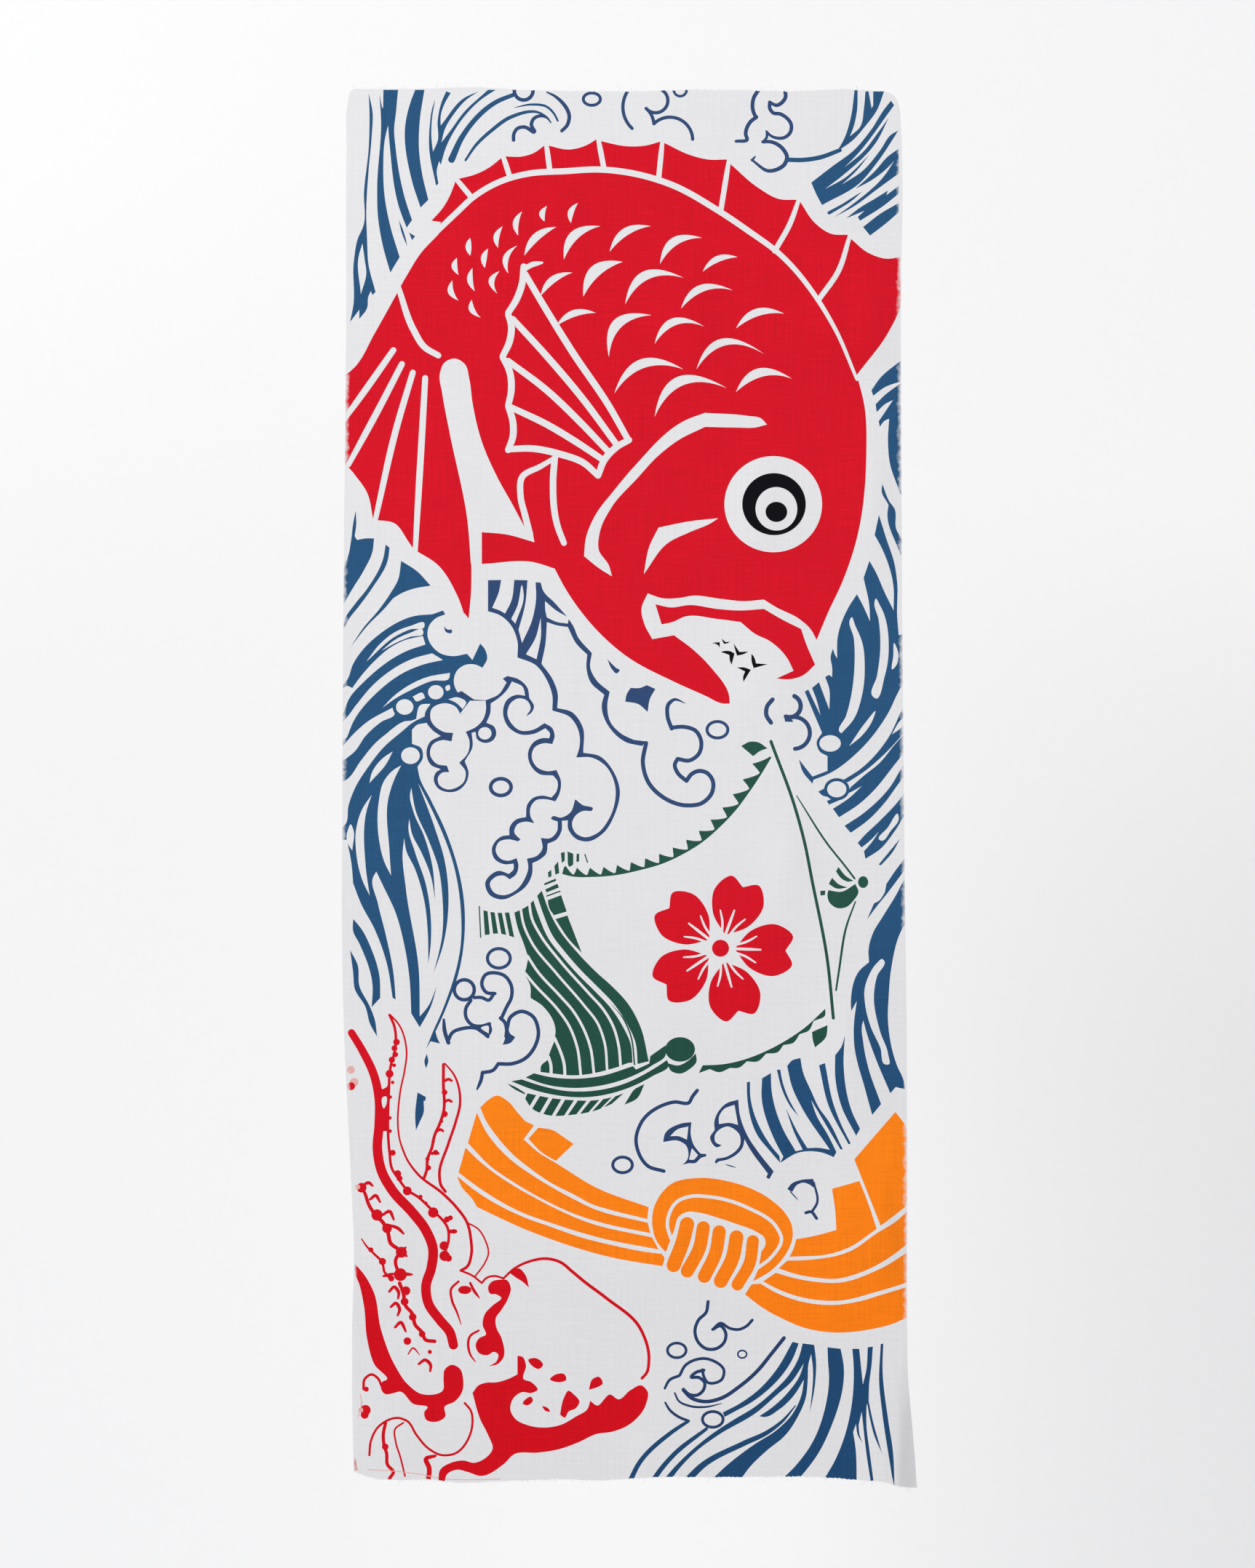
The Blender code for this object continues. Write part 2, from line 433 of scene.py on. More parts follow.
def drawTopFoam():
    ring("indigo", (-23, 6), 6.5, 5, 2)
    ring("indigo", (34, 0), 5, 5, 1.7)
    foam("indigo", [(0, 1), (3, 25)], 2.2, -0.18)
    foam("indigo", [(22, 0), (12, 12)], 2.2, 0.6)
    foam("indigo", [(12, 12), (17, 22)], 2.2, 0.1)
    foam("indigo", [(17, 22), (42, 32)], 2.2, 0.33)
    brushes("indigo",
        ([(84.2, 0.6), (81.5, 5), (81.3, 14.5), (83, 18)], 2.5),
        ([(83.2, 17.6), (79.3, 20.7), (76.3, 29), (77.2, 32), (70, 33.3)], 2.5, (1, 0.8)),
        ([(101.6, 0.5), (102, 4.5), (96, 10), (91.5, 7.8)], 2.5, (1, 0.7)),
        ([(91.8, 8), (91.8, 12), (94, 14.9), (98.5, 15.6), (105.7, 23), (105, 27.5), (101.5, 30.7),
        (92.5, 29.7), (89.6, 26.8)], 2.4, (1, 0.6)),
        ([(89.8, 27.5), (90, 30), (87.3, 34)], 1.8, (0.8, 0.8)),
        ([(87.3, 33.6), (92, 33.5), (100.5, 38.5), (102.9, 43.5), (101.7, 47.5), (91.5, 52.4), (80, 45.2)],
        2.7, (0.8, 0.5)),
        ([(80.2, 45.6), (82.6, 42.8)], 1.4, (1, 0.5)))


def drawTopRightStreams():
    brush("blue", [(103.5, 45.2), (113, 45.3), (124, 43.7), (137, 39)], 2.9, (1, 0.9))
    patches("blue",
        [(146.5, 0, 1), (148.5, 0, 1), (148, 14), (145.5, 25), (143.5, 30, 1), (150, 24), (152.5, 12),
        (153.5, 1, 1), (155.5, 1, 1), (157.5, 12, 1), (158.5, 10, 1), (158.5, 1, 1), (165.5, 1, 1),
        (161, 13), (153, 24), (146, 32), (135, 40, 1), (140, 31), (144, 18)],
        [(118.5, 60, 1), (132, 49.5), (146, 39), (157, 26), (166, 12), (170, 7, 1), (172, 10, 1), (147, 43),
        (140, 50, 1), (152, 40), (162, 27), (168.5, 18, 1), (161, 33), (138, 56), (127.5, 64, 1), (140, 57),
        (156, 42, 1), (148, 52), (138.5, 61, 1), (152, 52), (163, 39), (170, 29), (175, 26, 1), (161, 47),
        (150, 60), (125.5, 74.5, 1), (122, 68)],
        [(175, 38, 1), (168, 43), (160, 52), (147, 64, 1), (158, 58), (166, 52), (172, 46, 1), (166, 55),
        (145, 74), (133, 82.5, 1), (148, 74), (160, 65), (175, 54, 1)])
    brush("blue", [(151, 66), (142, 72.5), (130, 79.5)], 1.8, (0.1, 1.2))
    patches("blue",
        [(141, 83, 1), (150, 76), (160, 70), (168, 65, 1), (167, 68, 1), (175, 62, 1), (175, 67, 1),
        (165, 75), (150, 84.5, 1), (148.5, 82, 1), (153, 78, 1)],
        [(152, 88.5, 1), (163, 80), (175, 73, 1), (175, 79, 1), (167, 86), (156.5, 94, 1)])


def drawLeftWave():
    # three blades below the tail
    patches("blue",
        [(-175.3, 271.5, 1), (-175, 281), (-176, 288, 1), (-174.5, 290.5, 1), (-169, 289.5),
        (-163.5, 289.5, 1), (-164.5, 298), (-170, 310), (-178, 323), (-187, 339, 1), (-187, 312, 1),
        (-181, 303), (-178.5, 292), (-177, 280)],
        [(-156, 293.5, 1), (-153.5, 295.5, 1), (-154.5, 303), (-165, 322), (-173, 333), (-180, 342),
        (-183.5, 349, 1), (-182.5, 342), (-176, 332), (-168, 322), (-157.5, 302)],
        [(-146, 304, 1), (-136, 310.5), (-127, 320, 1), (-138, 322), (-145, 324.5), (-151, 328, 1),
        (-157, 335), (-167, 345), (-178.5, 359.5, 1), (-171, 348), (-160, 335), (-153, 325), (-148, 316)])
    # the big crest: one blue body, then the pale bands that cross it
    patch("blue", [(-119, 336, 1), (-126, 338.5, 1), (-137, 339.5), (-159, 350.5), (-177, 370.5),
        (-181, 381), (-187, 387, 1), (-187, 424, 1), (-187, 448, 1), (-181, 445), (-172, 433), (-162, 421),
        (-139, 407), (-129, 404.5), (-109, 417.5, 1), (-109, 404, 1), (-101, 393.5, 1), (-93.5, 373, 1),
        (-90.5, 367), (-92, 361), (-95, 357.3, 1), (-100, 368, 1), (-103.5, 364, 1), (-117.5, 338.5, 1)])
    patches("white",
        [(-117.5, 338.5, 1), (-123.5, 341), (-128, 346), (-129, 352), (-121, 363.5), (-113, 365.5),
        (-103.5, 364, 1), (-96, 350, 1), (-105, 338, 1)],
        [(-93.5, 373, 1), (-98, 371), (-104, 371), (-110, 375), (-112, 382), (-109, 389.5), (-101, 394.3, 1),
        (-88, 392, 1), (-86, 378, 1)],
        [(-131, 344.3), (-140, 346), (-150, 350), (-160, 358), (-168.5, 369, 1), (-149, 352.3),
        (-140, 348.2), (-131, 346.5)],
        [(-132, 348.7), (-141, 350.8), (-150, 355), (-158.7, 362, 1), (-149, 356.7), (-140, 353),
        (-131.7, 350.8)],
        [(-132, 352.5, 1), (-130.3, 358, 1), (-142, 362), (-170, 382), (-179, 392), (-184, 404, 1),
        (-190, 404, 1), (-190, 390, 1), (-181, 384.5, 1), (-177.5, 386, 1), (-172, 378.5), (-163, 368.5),
        (-153, 360), (-143, 355)],
        [(-126, 363.7, 1), (-119, 368, 1), (-131, 370.7), (-145, 376.5), (-160, 387.5), (-177, 408),
        (-181, 418, 1), (-190, 422, 1), (-190, 412, 1), (-182, 406), (-175, 397), (-164, 384), (-138, 367)],
        [(-114.5, 376.3, 1), (-115, 379.7), (-126, 381.5), (-140, 387.5), (-150, 393), (-158, 398.7, 1),
        (-151, 391.5), (-129, 379)],
        [(-151.5, 398.7, 1), (-150.2, 402.5), (-159, 408), (-169, 417), (-176, 427), (-182, 432, 1),
        (-190, 434, 1), (-184, 424, 1), (-177, 416), (-168, 408)])
    ring("blue", (-143.7, 398.3), 7.8, 7.2, 2.2)
    oval("white", (-123.6, 388.8), 5, 4.6)
    patches("white",
        [(-117.5, 385.5), (-115, 384), (-114.5, 387), (-116.5, 388)],
        [(-138.5, 391.5, 1), (-132, 389.3), (-130.5, 392.5, 1), (-136.5, 394.5)],
        [(-115.5, 393.3, 1), (-110, 392), (-104, 395.5), (-106.3, 399.7, 1), (-110, 396)],
        [(-127, 396.3, 1), (-130.5, 402), (-131, 405), (-145, 408), (-156, 416), (-167, 427), (-176, 440),
        (-181, 447, 1), (-187, 449, 1), (-184, 454, 1), (-172, 446), (-166, 435), (-158, 424), (-147, 415),
        (-138, 410), (-133, 396.8)])


def drawLeftFall():
    # the long fall of water: one body, cut by pale slivers and by its own legs
    patch("blue", [(-130, 404, 1), (-128.5, 407.5), (-136, 410), (-139, 413, 1), (-139, 422, 1), (-133, 425),
        (-132, 431), (-135.5, 437, 1), (-134, 444), (-127, 458), (-117, 479), (-105, 530), (-109, 570),
        (-116, 590), (-123, 606), (-130, 619, 1), (-126, 609), (-119, 593), (-107.5, 550), (-107.5, 530),
        (-111, 505), (-129, 459), (-135, 447.5, 1), (-124, 477), (-118, 497), (-119, 552), (-125, 570, 1),
        (-119.5, 545), (-119.5, 520), (-122, 502), (-128, 485), (-137, 464), (-139.5, 450.5, 1),
        (-140.3, 455), (-138, 466), (-131, 482), (-126, 500), (-124, 523, 1), (-127, 507), (-133, 492),
        (-139, 480), (-140.8, 470.5, 1), (-141.3, 476), (-137, 492), (-130, 513), (-127, 552),
        (-128.5, 564, 1), (-128.8, 545), (-131, 524), (-137, 503), (-143, 490), (-144, 483, 1), (-145, 492),
        (-143, 515), (-134.5, 570), (-134, 598, 1), (-129, 592), (-123, 578.5, 1), (-127, 592),
        (-134, 605, 1), (-139.5, 596, 1), (-140.5, 575), (-144, 552), (-150, 530), (-157, 515),
        (-162, 504.5, 1), (-164, 508), (-161, 525), (-156, 545), (-151, 570), (-149.5, 587, 1),
        (-151.5, 586, 1), (-155, 565), (-163, 542), (-172, 525), (-177, 512, 1), (-178, 500), (-181, 484, 1),
        (-187, 484, 1), (-187, 478, 1), (-182, 474), (-180, 462), (-176, 451), (-168, 438), (-157, 424),
        (-146, 414.5), (-138, 408)])
    oval("white", (-140, 429.7), 6, 5.4)
    patches("white",
        [(-151.5, 427, 1), (-155, 434), (-166.5, 447.5, 1), (-165, 441), (-158, 431.5)],
        [(-146, 436, 1), (-150, 444), (-154, 456), (-153.5, 492), (-152.5, 507, 1), (-156.5, 499),
        (-160.5, 482), (-160.5, 460), (-157, 446), (-151, 439)],
        [(-165, 455, 1), (-168, 464), (-169, 500), (-166.3, 520, 1), (-171, 510), (-175, 492), (-175, 477),
        (-171, 464)],
        [(-178.5, 474), (-177, 477), (-177.5, 491, 1), (-181, 485), (-180.5, 478)])
    patches("blue",
        [(-177, 535, 1), (-172, 541), (-165, 555), (-160, 572), (-159.5, 586, 1), (-165, 592, 1),
        (-164.5, 578), (-173, 551), (-177, 543)],
        [(-179, 555, 1), (-174, 565), (-173, 578), (-166, 592), (-163, 600), (-161.5, 611, 1), (-166, 603),
        (-169, 592), (-176, 580), (-177, 570)],
        [(-129.5, 622, 1), (-128.5, 627), (-130, 631.5, 1), (-131, 627)],
        [(-124, 607, 1), (-123, 611), (-121, 615.5, 1), (-127, 614, 1), (-130, 619, 1)])


def drawMiddleFoam():
    # reeds of spray under the belly fin
    patch("indigo", [(-90, 316.5, 1), (-81.5, 316.3, 1), (-83, 324), (-87.3, 334.3, 1), (-82.5, 336),
        (-79, 338, 1), (-75, 330), (-73, 316.3, 1), (-64.5, 316.5, 1), (-66, 332), (-70.3, 348.5, 1),
        (-68, 357, 1), (-61.5, 342), (-59, 328), (-59.3, 317.8, 1), (-56, 318, 1), (-54.5, 323), (-47, 331),
        (-39, 340, 1), (-46, 336), (-53.2, 330, 1), (-53, 336), (-52, 340.5, 1), (-46, 343.3),
        (-38.5, 344.5, 1), (-38, 341.5, 1), (-35, 346), (-32, 353), (-23, 363.5, 1), (-24, 373), (-20, 381),
        (-11.5, 388.5, 1), (-13, 397), (-11, 408), (-4, 415.5), (4, 419.5, 1), (12, 420.5, 1),
        (9.5, 423.5, 1), (-1, 421), (-16.5, 396), (-15, 390.5, 1), (-24, 382), (-26.5, 373), (-26, 364.5, 1),
        (-33, 357.5), (-38.5, 346.7, 1), (-46, 345.5), (-52, 343.5, 1), (-53, 358), (-55.5, 370.3, 1),
        (-48, 381), (-45, 390), (-45.3, 399, 1), (-36, 401.5), (-29, 411), (-28.5, 427.8, 1), (-18, 430),
        (-9, 440), (-5, 452), (-8, 467), (-16, 480), (-25, 485), (-33, 483.5), (-38.5, 476),
        (-38.5, 471.5, 1), (-42.3, 471.7, 1), (-42.5, 478), (-46, 484), (-51.5, 486.5, 1), (-52.5, 493),
        (-57, 497), (-61.3, 499, 1), (-61.5, 506), (-65.5, 514), (-72, 519), (-81, 522.5), (-89, 519.5),
        (-91.8, 512), (-83, 504), (-76.5, 506, 1), (-73.5, 503), (-73.5, 499.3, 1), (-79, 499.8), (-86, 496),
        (-87.5, 490), (-81, 481.7), (-76.2, 481, 1), (-76, 476), (-72, 471), (-65.5, 469.3, 1), (-64.5, 461),
        (-61, 457), (-55, 455.5), (-49, 456.7, 1), (-46, 453), (-45.3, 446), (-48, 442.5, 1), (-57, 441.5),
        (-63, 435), (-64, 427), (-60, 420.5), (-54, 418.3), (-50.5, 418.5, 1), (-50, 415.5), (-53, 412, 1),
        (-60, 415.5), (-69, 416), (-77, 411), (-80.3, 402), (-78, 394), (-72, 390.5), (-66, 391, 1),
        (-67.5, 385.5), (-74.5, 381.8, 1), (-77.5, 387), (-83, 392.5), (-88.2, 396, 1), (-88.5, 402),
        (-91, 408.5, 1), (-86, 411), (-84.7, 416), (-87, 420), (-92, 421.5), (-97, 419), (-98, 414.3, 1),
        (-100.5, 415, 1), (-100, 424), (-105, 433.3, 1), (-102.5, 441), (-105, 448.5), (-110, 452.5),
        (-122.5, 450.5), (-125, 445), (-123.5, 440.5), (-120.5, 438.5, 1), (-127, 435.5), (-129.7, 428),
        (-127.5, 421), (-120.5, 417, 1), (-125.5, 413.5), (-130, 407), (-129, 401), (-117.5, 395.5),
        (-111, 398.5), (-107.5, 403.3, 1), (-103.5, 400.5), (-101, 394.3, 1), (-112, 390, 1), (-107, 388, 1),
        (-99, 393.5, 1), (-91.5, 394, 1), (-83, 390), (-78, 382.5, 1), (-80.5, 380, 1), (-77.5, 378.3, 1),
        (-70.5, 380.3), (-64.5, 386), (-63.3, 392.5, 1), (-60.3, 398), (-62, 402), (-65.5, 404.3, 1),
        (-62.5, 399), (-64.5, 394.5), (-70, 392.7), (-75.5, 396), (-77.5, 402), (-69, 413.5), (-61, 413),
        (-53.5, 408.7, 1), (-48.5, 412), (-47, 417), (-48.5, 422.2, 1), (-54, 421.7), (-60, 424.5),
        (-61.8, 430), (-58.5, 437), (-52, 439.7), (-45.8, 439, 1), (-43, 446), (-44, 454.5),
        (-46.5, 459.2, 1), (-53, 457.8), (-59, 458.5), (-62.5, 463), (-62.5, 469), (-60, 473.3, 1),
        (-66, 472.3), (-71, 474), (-73, 479), (-69, 483.8, 1), (-70.5, 485, 1), (-77, 483.7), (-83, 485.5),
        (-85, 491), (-82, 496), (-77, 497.5), (-71.5, 495.8, 1), (-70.3, 500.5), (-72, 506.5),
        (-76, 509.5, 1), (-79.5, 507.2), (-84, 507.5), (-88.7, 512), (-86, 518), (-80, 519.7), (-72, 516.5),
        (-66, 508.5), (-64, 502), (-64.8, 496.2, 1), (-58, 494), (-55, 490), (-55.8, 482.8, 1), (-50, 483),
        (-45.5, 478.5), (-45, 472.3, 1), (-49.3, 470), (-48.5, 469), (-43, 469.7), (-37, 466.5),
        (-33.7, 457.8, 1), (-29, 461.5), (-22.3, 464), (-23.3, 465.5, 1), (-29, 465.5), (-34, 469),
        (-35.8, 474), (-33.5, 479.5), (-28, 482.3), (-20, 480), (-12, 470.5), (-8.5, 447), (-14, 436.5),
        (-23, 431), (-33, 430.8, 1), (-31, 424), (-31.5, 414), (-37, 405), (-48.5, 400.5, 1), (-48.5, 391),
        (-52, 381), (-59, 371.5), (-71, 366.3, 1), (-71, 356), (-76, 344.5), (-82.5, 339), (-90, 336.5, 1)])
    # pale gaps between the reeds and inside the small lobes
    patches("white",
        [(-107.5, 403.5, 1), (-110.5, 398.5), (-118, 395.9), (-126.5, 400), (-127, 406), (-118, 414.5),
        (-112.5, 415, 1), (-113.5, 420.5, 1), (-119.5, 419.7), (-126, 423), (-127.3, 429), (-123, 435),
        (-116.5, 436.2, 1), (-115, 440.3, 1), (-119.5, 440.7), (-122.3, 444), (-121.5, 448.5), (-117, 451.3),
        (-105.3, 446), (-104.5, 440), (-108.5, 434.3, 1), (-103, 428), (-102, 420), (-104.3, 414.3, 1),
        (-97.5, 411), (-93, 406), (-91.3, 400), (-91.5, 394.3, 1), (-101, 394.3, 1), (-103.5, 400.5)],
        [(-68, 319.8), (-67, 326), (-72.3, 344.5, 1), (-75, 341.5, 1), (-71, 333)],
        [(-56, 341, 1), (-55.8, 352), (-58.7, 367.5, 1), (-65.5, 364.3, 1), (-59.5, 354)])
    oval("white", (-92, 415.3), 4.3, 4)
    ring("indigo", (-81.7, 450), 7.8, 6.6, 2.4)
    ring("indigo", (58, 413), 7.7, 6.3, 2)
    brushes("indigo",
        ([(12, 421.5), (9.9, 434), (13, 446), (38, 461.8), (48, 460.3), (54.5, 453.5), (55, 446),
        (51, 440.7), (46, 439.6), (41.5, 441.5), (38, 446)], 2.7),
        ([(38, 446), (32.5, 441), (30.5, 435.5), (32.3, 431.8)], 2.6),
        ([(32.3, 431.8), (40, 432.8), (46, 428.5), (47.6, 421), (44, 413.7), (37, 411.2), (28.5, 411.6)],
        2.6),
        ([(28.5, 412.3), (25.8, 404), (26.6, 396.3), (30, 393.6), (37.5, 396)], 2.6, (1, 0.1)))
    # loose drops
    patches("indigo",
        [(-13, 367.5, 1), (-7.5, 373, 1), (-5, 374.5), (-7, 376.7), (-10, 374)],
        [(-118.5, 346.5, 1), (-115.5, 348.5), (-113.5, 348.3), (-113.3, 350.5), (-117, 350)],
        [(2, 386, 1), (8, 386), (12.5, 384.2, 1), (18, 386.7, 1), (14.5, 393), (13, 401.5, 1), (7, 396.5),
        (-1.5, 394.8, 1), (-0.5, 390)])


def drawRightWave():
    # blades at the right selvage
    patches("blue",
        [(157.3, 194, 1), (158.5, 197.5, 1), (166, 192), (176, 188.3, 1), (182, 187, 1), (182, 174, 1),
        (176, 175, 1), (163, 186)],
        [(160, 203, 1), (160.8, 208, 1), (166, 203), (171.3, 200.2, 1), (162, 214, 1), (162.8, 217.5, 1),
        (166, 213.5), (168.8, 212.3, 1), (168, 225), (169, 240), (176, 261, 1), (182, 262, 1), (182, 188, 1),
        (176, 189.5, 1), (166, 197)],
        [(164.3, 254.5, 1), (163.8, 259), (168.3, 268, 1), (167.6, 273), (176, 300, 1), (182, 300, 1),
        (177, 290), (173.5, 284), (172, 270), (169, 266)])
    # the tall wave: its crest of points, its body and its slivers
    patch("blue", [(162, 274.5, 1), (159.3, 287.5, 1), (163, 294), (171.5, 320), (171.7, 336, 1),
        (166, 324.5), (160, 311), (156, 304, 1), (152.3, 315, 1), (156, 333), (156.5, 343, 1), (151, 331),
        (148, 325.5, 1), (142, 335), (135.6, 353), (135.2, 367, 1), (133.6, 364), (132.5, 360.5, 1),
        (131, 366), (132, 373), (132, 379, 1), (130, 377.5, 1), (127.5, 379, 1), (130, 386), (130.2, 400, 1),
        (123.5, 382.3, 1), (119, 386, 1), (122, 394), (124.5, 403.7, 1), (116.5, 387, 1), (114.3, 388.5, 1),
        (125.5, 415, 1), (122, 421), (124, 427), (129, 430, 1), (129, 439.5, 1), (119.3, 443.2, 1),
        (110.5, 432, 1), (113, 440), (119.3, 447.8, 1), (120, 445.3, 1), (130, 441.3), (150, 426),
        (168, 402.5), (175, 388), (182, 376, 1), (182, 350, 1), (175, 352, 1), (174, 340), (174, 318),
        (172, 305), (167, 290)])
    patches("white",
        [(144.3, 340.5), (147, 346), (151.5, 357), (153, 372), (151, 392), (146, 406), (138, 415.3, 1),
        (137, 414.5), (141, 404), (146.5, 370), (146, 354), (143.7, 341.5)],
        [(160, 328.5), (163, 333), (168.5, 360), (166, 378), (159.5, 392.5), (158.3, 391.5), (161, 378),
        (163, 362), (162, 342), (159.5, 330)],
        [(172, 357), (174.5, 363), (173, 372), (171, 374), (171.5, 365)],
        [(160, 401), (158, 407), (151, 417), (143, 423.5, 1), (153, 409)])
    oval("white", (130.7, 421.8), 6.9, 5.3)
    # the rays below it
    patches("blue",
        [(139, 445.5, 1), (150, 438.5), (168, 418.5), (177, 400, 1), (182, 397, 1), (182, 402, 1),
        (176, 407), (170.5, 416, 1), (175, 413), (182, 405, 1), (182, 411, 1), (166, 428.5), (154, 439),
        (142, 447, 1)],
        [(132.5, 464, 1), (143, 457), (151, 449.5, 1), (142, 453.5), (144, 450, 1), (152, 443), (163, 434),
        (172, 423), (182, 412, 1), (182, 423, 1), (170, 438.5), (160, 451), (150, 460.5), (136.5, 469.5, 1)])
    ring("blue", (135, 451.4), 8.2, 7.2, 2)
    patches("blue",
        [(123, 453, 1), (127.5, 450.5, 1), (130, 456.5, 1), (126, 455.5)],
        [(128.5, 459, 1), (133, 457, 1), (139, 457.5, 1), (130, 461.3, 1)],
        [(140, 475, 1), (144, 479.5, 1), (155, 471.5), (166, 460), (174, 449), (182, 438, 1), (182, 430, 1),
        (176, 439), (170, 449), (152, 467)],
        [(148.5, 486, 1), (151, 489, 1), (156, 485), (162, 479, 1), (158, 485), (152.5, 491.5, 1),
        (153.5, 496.3, 1), (163, 490), (172, 479), (182, 462, 1), (182, 448, 1), (177, 456), (162, 472.5),
        (153, 481)])
    patch("white", [(174.5, 467.5), (175, 470), (170, 478), (163.5, 484.5), (162.5, 484), (168, 476)])
    patches("blue",
        [(162, 500, 1), (163.5, 500.5, 1), (171, 492), (176, 483, 1)],
        [(154.5, 535.5, 1), (159, 525, 1), (162, 523.5), (166, 518, 1), (167, 512.5, 1), (172, 505),
        (182, 492, 1), (182, 499, 1), (168, 518), (160, 528)])
    # loose lines of foam beside it
    foam("indigo", [(107.5, 391.3), (102, 404.5)], 2.9, 0.48)
    foam("indigo", [(102.5, 406), (108, 425.3)], 2.7, 0.62)
    patch("indigo", [(101, 403.3, 1), (107, 403.5, 1), (105.5, 405.7, 1), (107, 408, 1), (101.5, 407.8, 1)])
    brush("indigo", [(93.5, 393.5), (90, 398), (89.5, 403.5), (92.5, 408.5)], 2.8)


def drawRightRibbon():
    patch("blue", [(182, 502, 1), (173, 520), (165, 533), (158, 545), (155.5, 555), (155.8, 563, 1),
        (150, 568), (144, 588), (144.2, 594.5, 1), (147.8, 588, 1), (146, 602), (146, 615), (153.5, 646),
        (157.8, 661.5, 1), (163.5, 654.5, 1), (155, 630), (152, 615), (151.3, 603), (152, 600.5, 1),
        (154, 608), (160, 625), (169.5, 647.5, 1), (173, 643.5, 1), (179, 645, 1), (178, 639), (174, 630),
        (168, 600), (168.5, 585), (170, 568), (178, 540), (182, 534, 1)])
    patch("white", [(164.5, 561), (165.5, 562), (161, 572), (159, 583), (163, 608), (168, 622), (168.3, 629),
        (166.5, 629), (163, 618), (157, 605), (153.5, 592), (153, 580), (156, 571), (161, 563.5)])
    # the fan of water between the ribbon and the knot
    patches("blue",
        [(77, 640.5, 1), (79, 640, 1), (79.3, 650), (93, 682), (98, 688, 1), (98.5, 692.5, 1), (92, 685),
        (84, 675), (77.2, 650)],
        [(86.8, 638, 1), (92.5, 634.5, 1), (93, 646), (100, 670), (108.5, 685, 1), (113, 684, 1), (108, 674),
        (102, 657, 1), (110.5, 674), (116, 683, 1), (123, 682.8), (130.5, 684, 1), (112, 656), (106, 643),
        (103, 630, 1), (106, 626.5), (111.5, 624.8, 1), (113, 633), (119.5, 648.5, 1), (123, 656),
        (130, 666), (138.8, 683.5, 1), (137.5, 684, 1), (118.5, 652, 1), (122, 662), (129, 674),
        (134.8, 685.5, 1), (133, 688.8, 1), (126, 686), (110, 686), (98.5, 692.5, 1), (100.5, 688.5, 1),
        (95, 678), (86.5, 650)],
        [(96.3, 632.5, 1), (98.5, 632.2, 1), (100, 640), (103.5, 650), (110.3, 662.5, 1), (105, 656),
        (100, 646)],
        [(123.5, 629.5, 1), (127.3, 628, 1), (133, 655), (138, 668), (144, 680, 1), (142.5, 680.5, 1),
        (129.5, 655)],
        [(140, 610, 1), (138, 617), (133.8, 623, 1), (134, 638), (138, 656), (147.5, 675, 1),
        (150, 670.5, 1), (145, 660), (139.3, 630)])


def drawSail():
    patch("green", [(73.3, 423.5, 1), (79, 420.7), (84, 421), (90.3, 425, 1), (86, 426.5), (81, 430, 1)])
    toothed("green", [(92.3, 430.5), (86, 441), (78, 453), (69, 465), (59, 475.5), (48, 485), (36, 492.5),
        (22, 499), (8, 503), (-8, 506.3), (-22, 507.4), (-36, 507), (-42, 505.5)], (12.5, 8.4), (7.5, 4.8),
        1.2)
    patches("green",
        [(46, 634.5, 1), (48.5, 629.5, 1), (60, 629), (103, 613), (114, 605.5), (127.5, 593, 1),
        (127.5, 597), (120, 601, 1), (117, 607), (111, 609.5, 1), (107, 615), (100.5, 616.5, 1), (97, 621),
        (89.5, 622, 1), (84, 627), (77, 627, 1), (72, 631), (66, 631.3, 1), (59, 634), (53, 632, 1)],
        [(119, 608, 1), (129, 603.5, 1), (128, 611), (121, 618, 1), (119.5, 613)])
    # rigging and its tassel
    brushes("green",
        ([(92.5, 420.5), (108, 463), (114, 485), (119, 510), (129, 562), (132.7, 599)], 2),
        ([(109, 455.5), (130, 488), (140, 500.5), (146.5, 509)], 1.3, (0.5, 1)),
        ([(147, 524), (141.5, 539), (136.5, 568), (134.5, 581)], 1.5, (0.6, 0.8)))
    oval("green", (152, 511.3), 3.3, 3.8)
    patches("green",
        [(129.5, 516.5, 1), (138, 517.5), (147, 512.5, 1), (149, 517.5), (146, 523), (141, 527.5),
        (135, 528), (130, 524), (129, 519)],
        [(132, 508.5, 1), (129.8, 512.5, 1), (135, 515.5), (142, 514.8, 1), (136, 512.5)],
        [(136, 501.5, 1), (134.5, 504.5, 1), (138, 509), (142, 511), (145.8, 510.5, 1), (141, 507.5)],
        [(124.3, 517, 1), (127.6, 516.7, 1), (127.4, 519.6, 1), (124.5, 520, 1)])
    # a plain five-petal blossom on the sail
    for k in range(5):
        a = 2 * pi * k / 5 + 0.35

        def spot(out, across):
            return (60 + out * sin(a) + across * cos(a), 554 - out * cos(a) + across * sin(a))

        patch("red", [(*spot(9, 0), 1), spot(20, -12.5), spot(36, -16.5), spot(46.5, -9), (*spot(42, 0), 1),
            spot(46.5, 9), spot(36, 16.5), spot(20, 12.5)])
        brush("white", [spot(6, 0), spot(26, 0)], 1.8, (1, 0.6))
        for side in (-1, 1):
            brush("white", [spot(8, 2 * side), spot(17, 5 * side), spot(23, 8.5 * side)], 1.5, (1, 0.6))
    oval("red", (60, 554), 5.5, 5.5)


